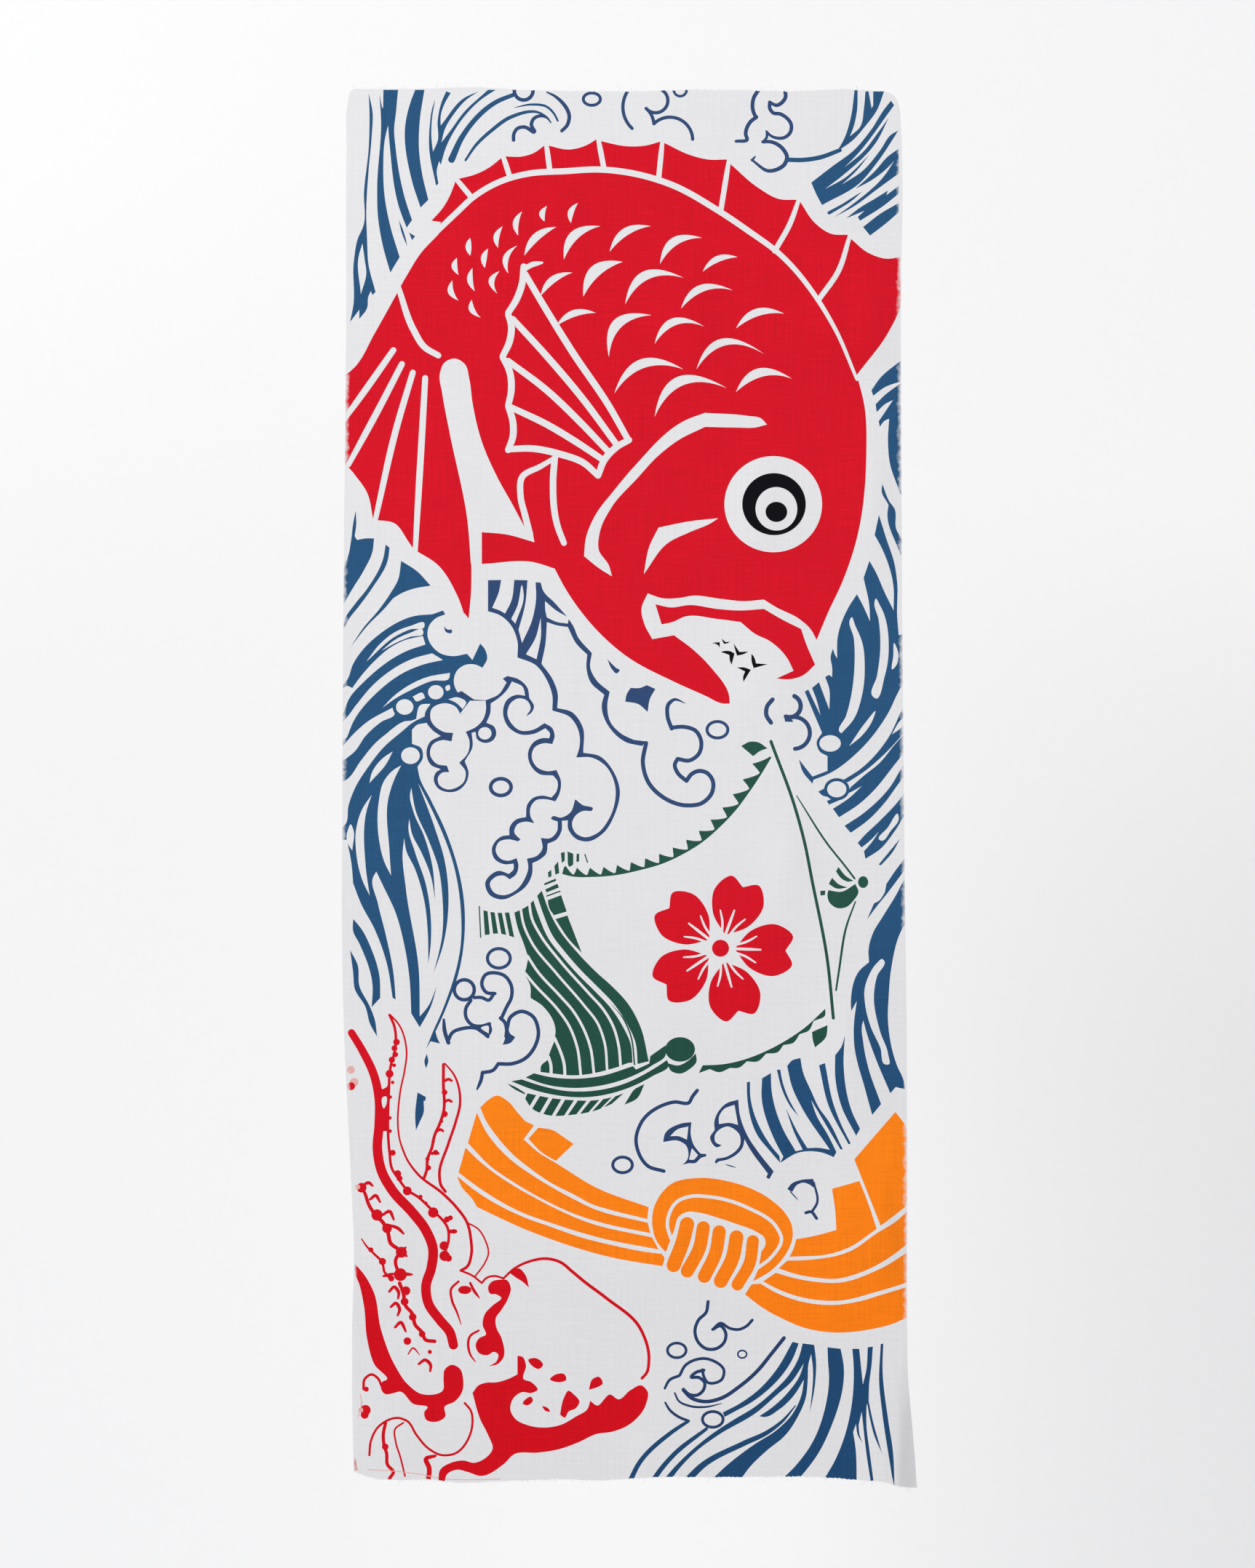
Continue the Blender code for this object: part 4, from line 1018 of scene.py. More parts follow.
def drawBottomWave():
    ring("indigo", (31.8, 813.5), 6.9, 5.6, 1.8)
    ring("indigo", (74, 816), 3.4, 3, 1.1)
    brushes("indigo",
        ([(52, 782), (50.7, 789), (45.8, 794), (43.5, 801), (45.5, 808), (51, 812.5), (57.5, 812.3),
        (62.5, 808), (63.3, 802), (60, 797.7), (55, 800)], 2.1),
        ([(55, 800), (60, 796), (66, 799.3), (72, 800), (77, 797.7), (80.5, 794)], 1.9),
        ([(24, 838), (27, 832.7), (33.5, 829.7)], 1.9, (0.8, 1)),
        ([(33.7, 829.5), (37, 823.5), (51, 818.9), (62.3, 827), (61, 832), (51.5, 834), (49.3, 830.5),
        (48.3, 826)], 1.9),
        ([(49.3, 826.3), (44, 827.8), (41, 830.7), (46, 831), (49.8, 834.5), (48.8, 839.3), (45, 842.3),
        (39.5, 841.7), (36, 838.5)], 2.1),
        ([(36, 839), (41, 844), (50, 846.5), (60, 844.5), (72, 837), (84, 826.5), (93, 815.5), (101, 805.5)],
        2.4),
        ([(30.5, 841), (33, 846), (40, 849.3), (50, 850), (61, 847.7)], 1.5, (0.8, 0.3)))
    ring("indigo", (55, 858), 7.6, 6, 1.9)
    brush("indigo", [(24.3, 847), (27, 851.5), (33, 856.3), (39.5, 859)], 1.8, (0.7, 1))
    brushes("blue",
        ([(39.3, 859), (28, 866.5), (7, 887), (2, 897)], 2.9, (0.7, 1.1)),
        ([(51, 864), (30, 880.5), (22, 889.5), (16, 898)], 3, (0.7, 1.1)))
    patches("blue",
        [(106.5, 808, 1), (110.5, 809, 1), (107, 818), (80, 847), (70, 852.5), (62.5, 856.5, 1),
        (61.5, 853.5, 1), (72, 848), (85, 838.5), (96, 826)],
        [(113, 809, 1), (120.5, 810, 1), (121.7, 822), (121, 835), (117.8, 853.5, 1), (119.5, 824),
        (118.5, 816, 1), (116.8, 822), (116.3, 832), (115, 844), (110, 856), (102, 868), (90, 878),
        (80, 887.5), (70, 901, 1), (50, 901, 1), (66, 886), (82, 874), (96, 865), (106, 855), (112, 843),
        (113.8, 832.5, 1), (107, 843), (98, 851.5), (88, 856.5), (85, 856, 1), (93, 850.5), (104, 840),
        (111, 830), (113.7, 822, 1), (106, 833.5), (96, 842.5), (84, 853), (58, 868.5), (45, 878), (34, 889),
        (25, 901, 1), (20, 901, 1), (30, 889), (55, 867), (68, 858.5), (82, 850), (94, 840), (104, 829.5),
        (110.5, 818)])
    brush("blue", [(108.5, 849), (100, 859), (90, 866.5), (75, 873.5), (48, 888), (37, 899)], 3.4,
        (0.2, 1.4))
    patches("blue",
        [(129, 811.5, 1), (137.5, 812.5, 1), (139.3, 822), (130, 866), (123, 880), (115, 891), (106, 901, 1),
        (95, 901, 1), (110, 886), (118, 875), (128, 848), (130, 832), (129.3, 820)],
        [(145, 812.5, 1), (149.5, 812.5, 1), (151.8, 835.5, 1), (154, 826), (155, 811.5, 1), (158.3, 811, 1),
        (157.5, 822), (155.8, 836), (155.5, 846, 1), (158, 858), (164, 879.5, 1), (159, 868), (156, 856),
        (154.5, 848), (154, 860), (156, 878), (159, 901, 1), (157.2, 901, 1), (154, 880), (151, 853, 1),
        (149, 861.5, 1), (149.7, 868), (151.5, 873, 1), (148.5, 868), (147.3, 861, 1), (145.5, 866, 1),
        (147, 876), (147.8, 901, 1), (124, 901, 1), (134, 884), (145.8, 822)],
        [(163.3, 809.5, 1), (165, 809, 1), (164.5, 825), (168, 858), (171, 878), (172, 901, 1),
        (170.3, 894, 1), (164, 852), (162.3, 835)])


drawTopLeftStreams()
drawTopFoam()
drawTopRightStreams()
drawCarp()
drawCarpFins()
drawCarpHead()
drawCarpScales()
drawLeftWave()
drawLeftFall()
drawMiddleFoam()
drawRightWave()
drawRightRibbon()
drawSail()
drawHull()
drawLowerFoam()
drawTeeth()
drawOctopusArms()
drawOctopusBody()
drawRope()
drawKnotFoam()
drawBottomWave()
print("print drawn:", len(inkShapes), "shapes")


clothLook = {
    "gridStep": 4.0,  # mm between mesh points in plain cloth
    "creaseStep": 1.0,  # mm between rows beside a crease
    "creaseZone": 6.0,  # mm either side of a crease that bends
    "pointGap": 0.7,  # mm kept clear round the print's own points
    "thickness": 0.0004,
    "waviness": 0.4,  # mm of slow unevenness all over
    "rippleRise": (20, 40),  # mm before and after its start over which a ripple grows
    "cornerTop": 800,  # mm down where the lower right corner begins to curl
    "cornerBottom": 900,
    "rollMiddle": 166,  # mm across
    "rollWidth": 17,
    "turnFrom": 174,  # mm across, where the selvage begins to turn back
    "turnTo": 187,
    "cornerRoll": 5.5,  # mm that the cloth swells beside the lower right corner
    "cornerTurn": 9.5,  # mm that the corner's selvage turns back
    "reliefs": (-0.55, 0.2, -0.2, 0.55, -0.2, 0.2, -0.3),  # mm that each pressed crease stands forward
    "reliefReach": 4.5,  # mm over which a crease settles back
    "fray": 0.2,  # mm of roughness along the two cut edges
    "sharpAngle": 0.9,  # radians, past which an edge shades sharp
}

# the edge of the flat cloth, clockwise from its top left corner, in mm
clothEdge = [
    (-178.3, 0.4), (-168, -0.3), (-133, -0.6), (-98, -1.6), (-67, 0.2), (-30, 1), (0, 1.2), (36, 0.2),
    (72, 0.2), (108, 1), (138, -0.2), (160, 0.8), (168, 1.6), (172.7, 4.6), (175.7, 13), (176.3, 22),
    (176.3, 150), (177, 300), (178, 420), (179, 520), (180, 600), (180.4, 700), (180.4, 790), (181.3, 835),
    (183.8, 861), (185.5, 880), (187.3, 903.5, 1), (175, 900.6), (166, 897.8), (150, 896.9), (131, 895.6),
    (112, 894.8), (87, 895), (50, 895.2), (25, 895), (0, 896.3), (-20, 897.4), (-42, 896.6), (-55, 897),
    (-84, 897.8), (-108, 898.8), (-129, 896.6), (-145, 897), (-164, 895.8), (-176.6, 891.6, 1),
    (-177.5, 850), (-177.6, 800), (-176.5, 750), (-178.5, 700), (-180.5, 660), (-182.8, 610), (-184, 560),
    (-184, 450), (-183, 300), (-181.5, 150), (-181.2, 40), (-180.3, 8),
]

# upright ripples: middle x, v from and to, width and height in mm, lean in mm of x per mm of v
ripples = (
    (40, 95, 212, 15, 2.6, 0.05),
    (84, 210, 430, 17, 2.5, -0.03),
    (103, 300, 560, 15, 2.3, 0.0),
    (157, 100, 330, 13, 3.0, 0.02),
    (143, 560, 790, 16, 3.6, 0.02),
    (164, 640, 810, 10, 4.2, 0.03),
    (128, 60, 190, 11, 2.8, 0.1),
    (-70, 430, 700, 26, 1.9, 0.0),
    (-120, 210, 500, 24, 1.7, -0.03),
    (20, 560, 900, 22, 1.7, 0.0),
    (-150, 690, 900, 20, 2.4, 0.0),
)

# slow unevenness: mm across and down for one radian, where it begins, and its size
slowWaves = ((31, 83, 0, 1), (47, -61, 1.7, 1), (19, 140, 0.6, 0.6))


def intoScene(name, data):
    thing = bpy.data.objects.new(name, data)
    bpy.context.scene.collection.objects.link(thing)
    return thing


def smoothStep(low, high, value):
    t = np.clip((value - low) / (high - low), 0, 1)
    return t * t * (3 - 2 * t)


def hangShape(x, v):
    # where points of the flat cloth hang, in metres
    forward = np.zeros_like(x)
    outer, inner = clothLook["rippleRise"]
    for centre, start, end, width, height, lean in ripples:
        across = (x - centre - lean * (v - (start + end) / 2)) / width
        along = smoothStep(start - outer, start + inner, v) * (1 - smoothStep(end - inner, end + outer, v))
        forward += height * np.exp(-across * across) * along
    slow = sum(np.sin(x / across + v / down + begin) * size for across, down, begin, size in slowWaves)
    forward += clothLook["waviness"] * (1 + slow / sum(wave[3] for wave in slowWaves))
    # ripples fade out towards each crease
    free = np.zeros_like(x)
    for k, (a, b) in enumerate(zip(panelEnds, panelEnds[1:])):
        share = np.clip((v - a) / (b - a), 0, 1)
        span = pi / 2 if k == len(panelEnds) - 2 else pi
        free = np.where((v >= a) & (share < 1), np.sin(share * span) ** 1.5, free)
    free = np.where(v >= lengthMm, 1, free)
    forward *= free
    for at, relief in zip(creases, clothLook["reliefs"]):
        forward += relief * np.exp(-np.abs(v - at) / clothLook["reliefReach"])
    # the lower right corner swells, and its selvage turns back
    low = smoothStep(clothLook["cornerTop"], clothLook["cornerBottom"], v)
    swell = np.exp(-(((x - clothLook["rollMiddle"]) / clothLook["rollWidth"]) ** 2))
    forward += clothLook["cornerRoll"] * low * swell
    forward -= clothLook["cornerTurn"] * low * smoothStep(clothLook["turnFrom"], clothLook["turnTo"], x)
    return x / 1000, -forward / 1000, topZ - v / 1000


def insideOf(polygon, px, py):
    # which points a closed outline winds round
    turns = np.zeros(len(px), dtype=int)
    for (x0, y0), (x1, y1) in zip(polygon, polygon[1:] + polygon[:1]):
        if y0 == y1:
            continue
        crosses = (py >= y0) != (py >= y1)
        side = (x1 - x0) * (py - y0) - (px - x0) * (y1 - y0)
        turns += np.where(crosses & (side > 0) & (y1 > y0), 1, 0)
        turns -= np.where(crosses & (side < 0) & (y1 < y0), 1, 0)
    return turns != 0


def frayedEdge():
    # the cloth's outline, rough along the cut edges and smooth along the selvages
    path = []
    for x, v in smoothPath(clothEdge, closed=True):
        cut = -170 < x < 184 and (v < 3 or v > 893)
        rough = clothLook["fray"] * (sin(2.1 * x) + 0.8 * sin(3.7 * x + 1) + 0.6 * sin(6.1 * x)) if cut else 0
        path.append((x, v + rough))
    return path


def flatMesh():
    # points and triangles of the flat cloth, cut along every outline of the print
    points = []
    edges = []

    def addPath(path, closed):
        first = len(points)
        points.extend(path)
        last = len(points) - 1
        edges.extend((i, i + 1) for i in range(first, last))
        if closed:
            edges.append((last, first))

    edge = frayedEdge()
    addPath(edge, True)
    for ink, outline in inkShapes:
        addPath(outline, True)
    gap = clothLook["pointGap"]
    taken = {(int(x / gap), int(y / gap)) for x, y in points}

    def clear(x, y):
        cx, cy = int(x / gap), int(y / gap)
        return not any((cx + i, cy + j) in taken for i in (-1, 0, 1) for j in (-1, 0, 1))

    wide = 190  # mm, past both selvages
    for v in [*creases, *middles]:
        addPath([(x, v) for x in range(-wide, wide + 1, 3)], False)
    rows = {round(v, 3) for v in np.arange(3, lengthMm + 2, clothLook["gridStep"])}
    for v in creases:
        near = clothLook["creaseZone"] + 2
        rows = {r for r in rows if abs(r - v) > near + 1}
        rows |= {v + d for d in np.arange(-near, near + 0.1, clothLook["creaseStep"]) if abs(d) > 0.1}
    spots = []
    for k, v in enumerate(sorted(rows)):
        shift = (k % 2) * clothLook["gridStep"] / 2
        spots += [(float(x), float(v)) for x in np.arange(-wide + shift, wide, clothLook["gridStep"])]
    for x in np.arange(170, wide, 1.5):  # finer points in the turned corner
        spots += [(float(x), float(v)) for v in np.arange(clothLook["cornerTop"], 905, 2.5)]
    spots = np.array(spots)
    within = np.ones(len(spots), dtype=bool)
    inset = 1.3  # mm kept clear of the edge
    for stepX, stepV in ((inset, 0), (-inset, 0), (0, inset), (0, -inset)):
        within &= insideOf(edge, spots[:, 0] + stepX, spots[:, 1] + stepV)
    points += [tuple(spot) for spot in spots[within].tolist() if clear(*spot)]
    found = delaunay_2d_cdt(points, edges, [], 0, 1e-6, False)
    xy = np.array([(p[0], p[1]) for p in found[0]])
    tris = np.array([list(f) for f in found[2]])
    mid = xy[tris].mean(axis=1)
    kept = insideOf(edge, mid[:, 0], mid[:, 1])
    tris, mid = tris[kept], mid[kept]
    order = list(inks)
    ink = np.zeros(len(tris), dtype=int)
    for name, outline in inkShapes:
        xs, ys = zip(*outline)
        near = (mid[:, 0] > min(xs)) & (mid[:, 0] < max(xs)) & (mid[:, 1] > min(ys)) & (mid[:, 1] < max(ys))
        index = np.nonzero(near)[0]
        held = insideOf(outline, mid[index, 0], mid[index, 1])
        ink[index[held]] = order.index(name)
    # every triangle is turned to face forwards
    a, b, c = xy[tris[:, 0]], xy[tris[:, 1]], xy[tris[:, 2]]
    turn = (b[:, 0] - a[:, 0]) * (c[:, 1] - a[:, 1]) - (b[:, 1] - a[:, 1]) * (c[:, 0] - a[:, 0])
    tris = np.where(turn[:, None] < 0, tris, tris[:, ::-1])
    print("flat cloth:", len(tris), "triangles")
    return xy, tris, ink


def fromSelvage(xy):
    # how far each point is from the nearer selvage, in mm
    v = [p[1] for p in clothEdge]
    right = clothEdge[v.index(22) : v.index(903.5) + 1]
    left = clothEdge[v.index(891.6) :][::-1]
    leftX = np.interp(xy[:, 1], [p[1] for p in left], [p[0] for p in left])
    rightX = np.interp(xy[:, 1], [p[1] for p in right], [p[0] for p in right])
    return np.minimum(xy[:, 0] - leftX, rightX - xy[:, 0])


def makePiece(name, xy, tris, ink, material):
    # one piece of the cloth: its front sheet, thickened backwards and closed round its edges
    used = np.unique(tris)
    renumber = np.zeros(len(xy), dtype=int)
    renumber[used] = np.arange(len(used))
    tris = renumber[tris]
    xy = xy[used]
    x, y, z = hangShape(xy[:, 0], xy[:, 1])
    mesh = bpy.data.meshes.new(name)
    mesh.from_pydata(np.column_stack((x, y - clothLook["thickness"], z)).tolist(), [], tris.tolist())
    uv = mesh.uv_layers.new(name="flat")
    corners = xy[tris.reshape(-1)] / 1000
    uv.data.foreach_set("uv", np.column_stack((corners[:, 0], -corners[:, 1])).astype(np.float32).ravel())
    dye = mesh.attributes.new("dye", "FLOAT_COLOR", "FACE")
    table = np.array(list(inks.values()), dtype=np.float32)
    dye.data.foreach_set("color", table[ink].ravel())
    selvage = mesh.attributes.new("selvage", "FLOAT", "POINT")
    selvage.data.foreach_set("value", fromSelvage(xy).astype(np.float32))
    sheet = intoScene(name, mesh)
    shell = sheet.modifiers.new("thickness", "SOLIDIFY")
    shell.thickness = clothLook["thickness"]
    shell.offset = -1
    solid = bpy.data.meshes.new_from_object(sheet.evaluated_get(bpy.context.evaluated_depsgraph_get()))
    sheet.modifiers.clear()
    sheet.data = solid
    bpy.data.meshes.remove(mesh)
    bm = bmesh.new()
    bm.from_mesh(solid)
    back = bm.faces.layers.float.new("backSide")
    for face in bm.faces:
        face.smooth = True
        face[back] = sum(vert.index >= len(used) for vert in face.verts) / len(face.verts)
    for edge in bm.edges:
        edge.smooth = edge.calc_face_angle(0) < clothLook["sharpAngle"]
    bm.to_mesh(solid)
    bm.free()
    solid.name = name
    solid.materials.append(material)
    print(name, len(solid.polygons), "faces")
    return sheet


def makePieces(material):
    # one piece for each crease, cut midway down the panels
    xy, tris, ink = flatMesh()
    height = xy[tris][:, :, 1].mean(axis=1)
    ends = [-10, *middles, lengthMm + 20]
    pieces = []
    for k, (a, b) in enumerate(zip(ends, ends[1:])):
        held = (height > a) & (height < b)
        pieces.append(makePiece(f"cloth_{k + 1}", xy, tris[held], ink[held], material))
    return pieces


fringeLook = {
    "yarn": 0.00014,  # m, radius of a loose warp end
    "spacing": (0.5, 2.4),  # mm between loose ends
    "reach": (0.3, 1.5),  # mm that most stand out of the cut edge
    "longReach": (2, 4.5),  # mm for the few long ones
    "longShare": 0.05,
    "lean": 0.5,  # most that an end leans sideways
    "rise": (-0.3, 0.6),  # how an end bends back or forward
}


def makeFringe(name, edge, outward, seed, material):
    # warp ends that have worked loose along a cut edge
    pick = Random(seed)
    curve = bpy.data.curves.new(name, "CURVE")
    curve.dimensions = "3D"
    curve.bevel_depth = fringeLook["yarn"]
    curve.bevel_resolution = 1
    curve.use_fill_caps = True
    edgeX, edgeV = zip(*sorted(edge))
    x = edgeX[0] + 1
    while x < edgeX[-1] - 1:
        reach = pick.uniform(*fringeLook["reach"])
        if pick.random() < fringeLook["longShare"]:
            reach = pick.uniform(*fringeLook["longReach"])
        lean = pick.uniform(-fringeLook["lean"], fringeLook["lean"])
        rise = pick.uniform(*fringeLook["rise"])
        v = float(np.interp(x, edgeX, edgeV))
        spline = curve.splines.new("POLY")
        spline.points.add(4)
        for k, point in enumerate(spline.points):
            out = reach * k / 4 - 1.5 * (k == 0)  # each end is rooted 1.5 mm inside the cloth
            across = lean * max(out, 0) * (0.4 + out / reach)
            spotX, spotY, spotZ = hangShape(np.array([x + across]), np.array([v + outward * out]))
            forward = 0.0002 + rise * max(out, 0) ** 1.5 / 3000
            point.co = (spotX[0], spotY[0] - forward, spotZ[0], 1)
        x += pick.uniform(*fringeLook["spacing"])
    drawn = intoScene(name, curve)
    mesh = bpy.data.meshes.new_from_object(drawn.evaluated_get(bpy.context.evaluated_depsgraph_get()))
    bpy.data.objects.remove(drawn)
    bpy.data.curves.remove(curve)
    mesh.name = name
    mesh.materials.clear()
    mesh.materials.append(material)
    for face in mesh.polygons:
        face.use_smooth = len(face.vertices) == 4
    fringe = intoScene(name, mesh)
    print(name, len(mesh.polygons), "faces")
    return fringe


def node(tree, kind, place, **values):
    # sets a node's inputs and settings by name, with _ for a space
    made = tree.nodes.new(kind)
    made.location = place
    for key, value in values.items():
        if key.replace("_", " ") in made.inputs:
            made.inputs[key.replace("_", " ")].default_value = value
        else:
            setattr(made, key, value)
    return made


def maths(tree, place, operation, first, second=None, third=None):
    made = node(tree, "ShaderNodeMath", place, operation=operation)
    for socket, value in zip(made.inputs, (first, second, third)):
        if value is None:
            continue
        if isinstance(value, (int, float)):
            socket.default_value = value
        else:
            tree.links.new(value, socket)
    return made.outputs[0]


def newGroup(name, inputs, outputs):
    group = bpy.data.node_groups.new(name, "ShaderNodeTree")
    for title, kind, value in inputs:
        socket = group.interface.new_socket(title, in_out="INPUT", socket_type=kind)
        if value is not None:
            socket.default_value = value
    for title, kind in outputs:
        group.interface.new_socket(title, in_out="OUTPUT", socket_type=kind)
    return group, node(group, "NodeGroupInput", (-1600, 0)), node(group, "NodeGroupOutput", (900, 0))


def makeWeave():
    # plain weave: warp and weft yarns that pass over and under each other, never quite evenly
    group, given, out = newGroup(
        "plainWeave",
        (
            ("Cloth", "NodeSocketVector", None),
            ("Yarns per Metre", "NodeSocketFloat", 1900),
            ("Uneven", "NodeSocketFloat", 0.0003),
        ),
        (("Height", "NodeSocketFloat"), ("Shade", "NodeSocketFloat")),
    )
    link = group.links.new
    wander = node(group, "ShaderNodeTexNoise", (-1400, -200), Scale=280, Detail=2)
    centred = node(group, "ShaderNodeVectorMath", (-1200, -200), operation="SUBTRACT")
    centred.inputs[1].default_value = (0.5, 0.5, 0.5)
    shifted = node(group, "ShaderNodeVectorMath", (-1000, -200), operation="SCALE")
    moved = node(group, "ShaderNodeVectorMath", (-800, 0), operation="ADD")
    link(given.outputs["Cloth"], wander.inputs["Vector"])
    link(wander.outputs["Color"], centred.inputs[0])
    link(centred.outputs[0], shifted.inputs[0])
    link(given.outputs["Uneven"], shifted.inputs["Scale"])
    link(given.outputs["Cloth"], moved.inputs[0])
    link(shifted.outputs[0], moved.inputs[1])
    split = node(group, "ShaderNodeSeparateXYZ", (-600, 0))
    link(moved.outputs[0], split.inputs[0])
    turns = maths(group, (-600, 200), "MULTIPLY", given.outputs["Yarns per Metre"], pi)
    warpWave, weftWave = [
        maths(group, (-400, y), "SINE", maths(group, (-500, y), "MULTIPLY", split.outputs[axis], turns))
        for axis, y in (("X", 100), ("Y", -100))
    ]
    warp = maths(group, (-200, 100), "ABSOLUTE", warpWave)
    weft = maths(group, (-200, -100), "ABSOLUTE", weftWave)
    crossing = maths(group, (-300, -300), "MULTIPLY", warpWave, weftWave)
    onTop = maths(group, (-200, -300), "GREATER_THAN", crossing, 0)
    warpHill, weftHill = [
        maths(group, (0, y), "MULTIPLY", yarn, maths(group, (-100, y), "MULTIPLY_ADD", other, 0.5, 0.5))
        for yarn, other, y in ((warp, weft, 100), (weft, warp, -100))
    ]
    hills = node(group, "ShaderNodeMix", (200, 0))
    link(onTop, hills.inputs[0])
    link(weftHill, hills.inputs[2])
    link(warpHill, hills.inputs[3])
    link(hills.outputs[0], out.inputs["Height"])
    # painted shade and highlight: the Shade output darkens the colour in the dips between yarns and lightens
    # it on their tops
    rounded = maths(group, (400, -200), "SQRT", hills.outputs[0])
    shade = maths(group, (500, -200), "MULTIPLY_ADD", rounded, 0.3, 0.8)
    link(shade, out.inputs["Shade"])
    return group


def makeSlubs():
    # thick and thin places along single yarns, both ways
    group, given, out = newGroup(
        "yarnSlubs",
        (("Cloth", "NodeSocketVector", None), ("Yarns per Metre", "NodeSocketFloat", 1500)),
        (("Streaks", "NodeSocketFloat"),),
    )
    link = group.links.new
    streaks = []
    for row, along in enumerate(((1, 0.02, 1), (0.03, 1, 1))):
        stretch = node(group, "ShaderNodeVectorMath", (-1000, -300 * row), operation="MULTIPLY")
        stretch.inputs[1].default_value = along
        noise = node(group, "ShaderNodeTexNoise", (-700, -300 * row), Detail=1, Roughness=0.4)
        link(given.outputs["Cloth"], stretch.inputs[0])
        link(stretch.outputs[0], noise.inputs["Vector"])
        link(given.outputs["Yarns per Metre"], noise.inputs["Scale"])
        streaks.append(noise.outputs["Fac"])
    both = maths(group, (-400, 0), "ADD", *streaks)
    link(maths(group, (-300, 0), "MULTIPLY", both, 0.5), out.inputs["Streaks"])
    return group


def makeDyeing():
    # dye that took unevenly: broad clouds, fine specks, and yarns that drew up less of it
    group, given, out = newGroup(
        "dyeMottle",
        (
            ("Color", "NodeSocketColor", (0.8, 0.8, 0.8, 1)),
            ("Cloth", "NodeSocketVector", None),
            ("Streaks", "NodeSocketFloat", 0.5),
            ("Depth", "NodeSocketFloat", 1),
        ),
        (("Color", "NodeSocketColor"),),
    )
    link = group.links.new
    clouds = node(group, "ShaderNodeTexNoise", (-1000, 200), Scale=26, Detail=3)
    specks = node(group, "ShaderNodeTexNoise", (-1000, -100), Scale=900, Detail=2)
    for noise in (clouds, specks):
        link(given.outputs["Cloth"], noise.inputs["Vector"])
    level = maths(group, (-700, 200), "MULTIPLY_ADD", clouds.outputs["Fac"], 0.10, -0.05)
    fine = maths(group, (-700, 0), "MULTIPLY_ADD", specks.outputs["Fac"], 0.26, -0.13)
    level = maths(group, (-500, 100), "ADD", level, fine)
    drawn = maths(group, (-500, -200), "MULTIPLY_ADD", given.outputs["Streaks"], 0.5, -0.25)
    level = maths(group, (-300, 0), "ADD", level, drawn)
    level = maths(group, (-100, 0), "MULTIPLY_ADD", level, given.outputs["Depth"], 1)
    tone = node(group, "ShaderNodeHueSaturation", (300, 0))
    link(given.outputs["Color"], tone.inputs["Color"])
    link(level, tone.inputs["Value"])
    link(tone.outputs["Color"], out.inputs["Color"])
    return group


cottonLook = {
    "white": (0.80, 0.797, 0.806, 1),
    "roughness": 0.88,
    "specular": 0.08,
    "sheen": 0.04,
    "bumpStrength": 0.55,
    "bumpHeight": 0.00012,  # m
    "backFade": 0.35,  # how much paler the dye is on the back
    "lowShadeGamma": 1.14,  # painted shade: how much darker the colours are made at the bottom, where less light falls
    "selvageFade": 2.6,  # mm at the selvages where the dye gives out
}


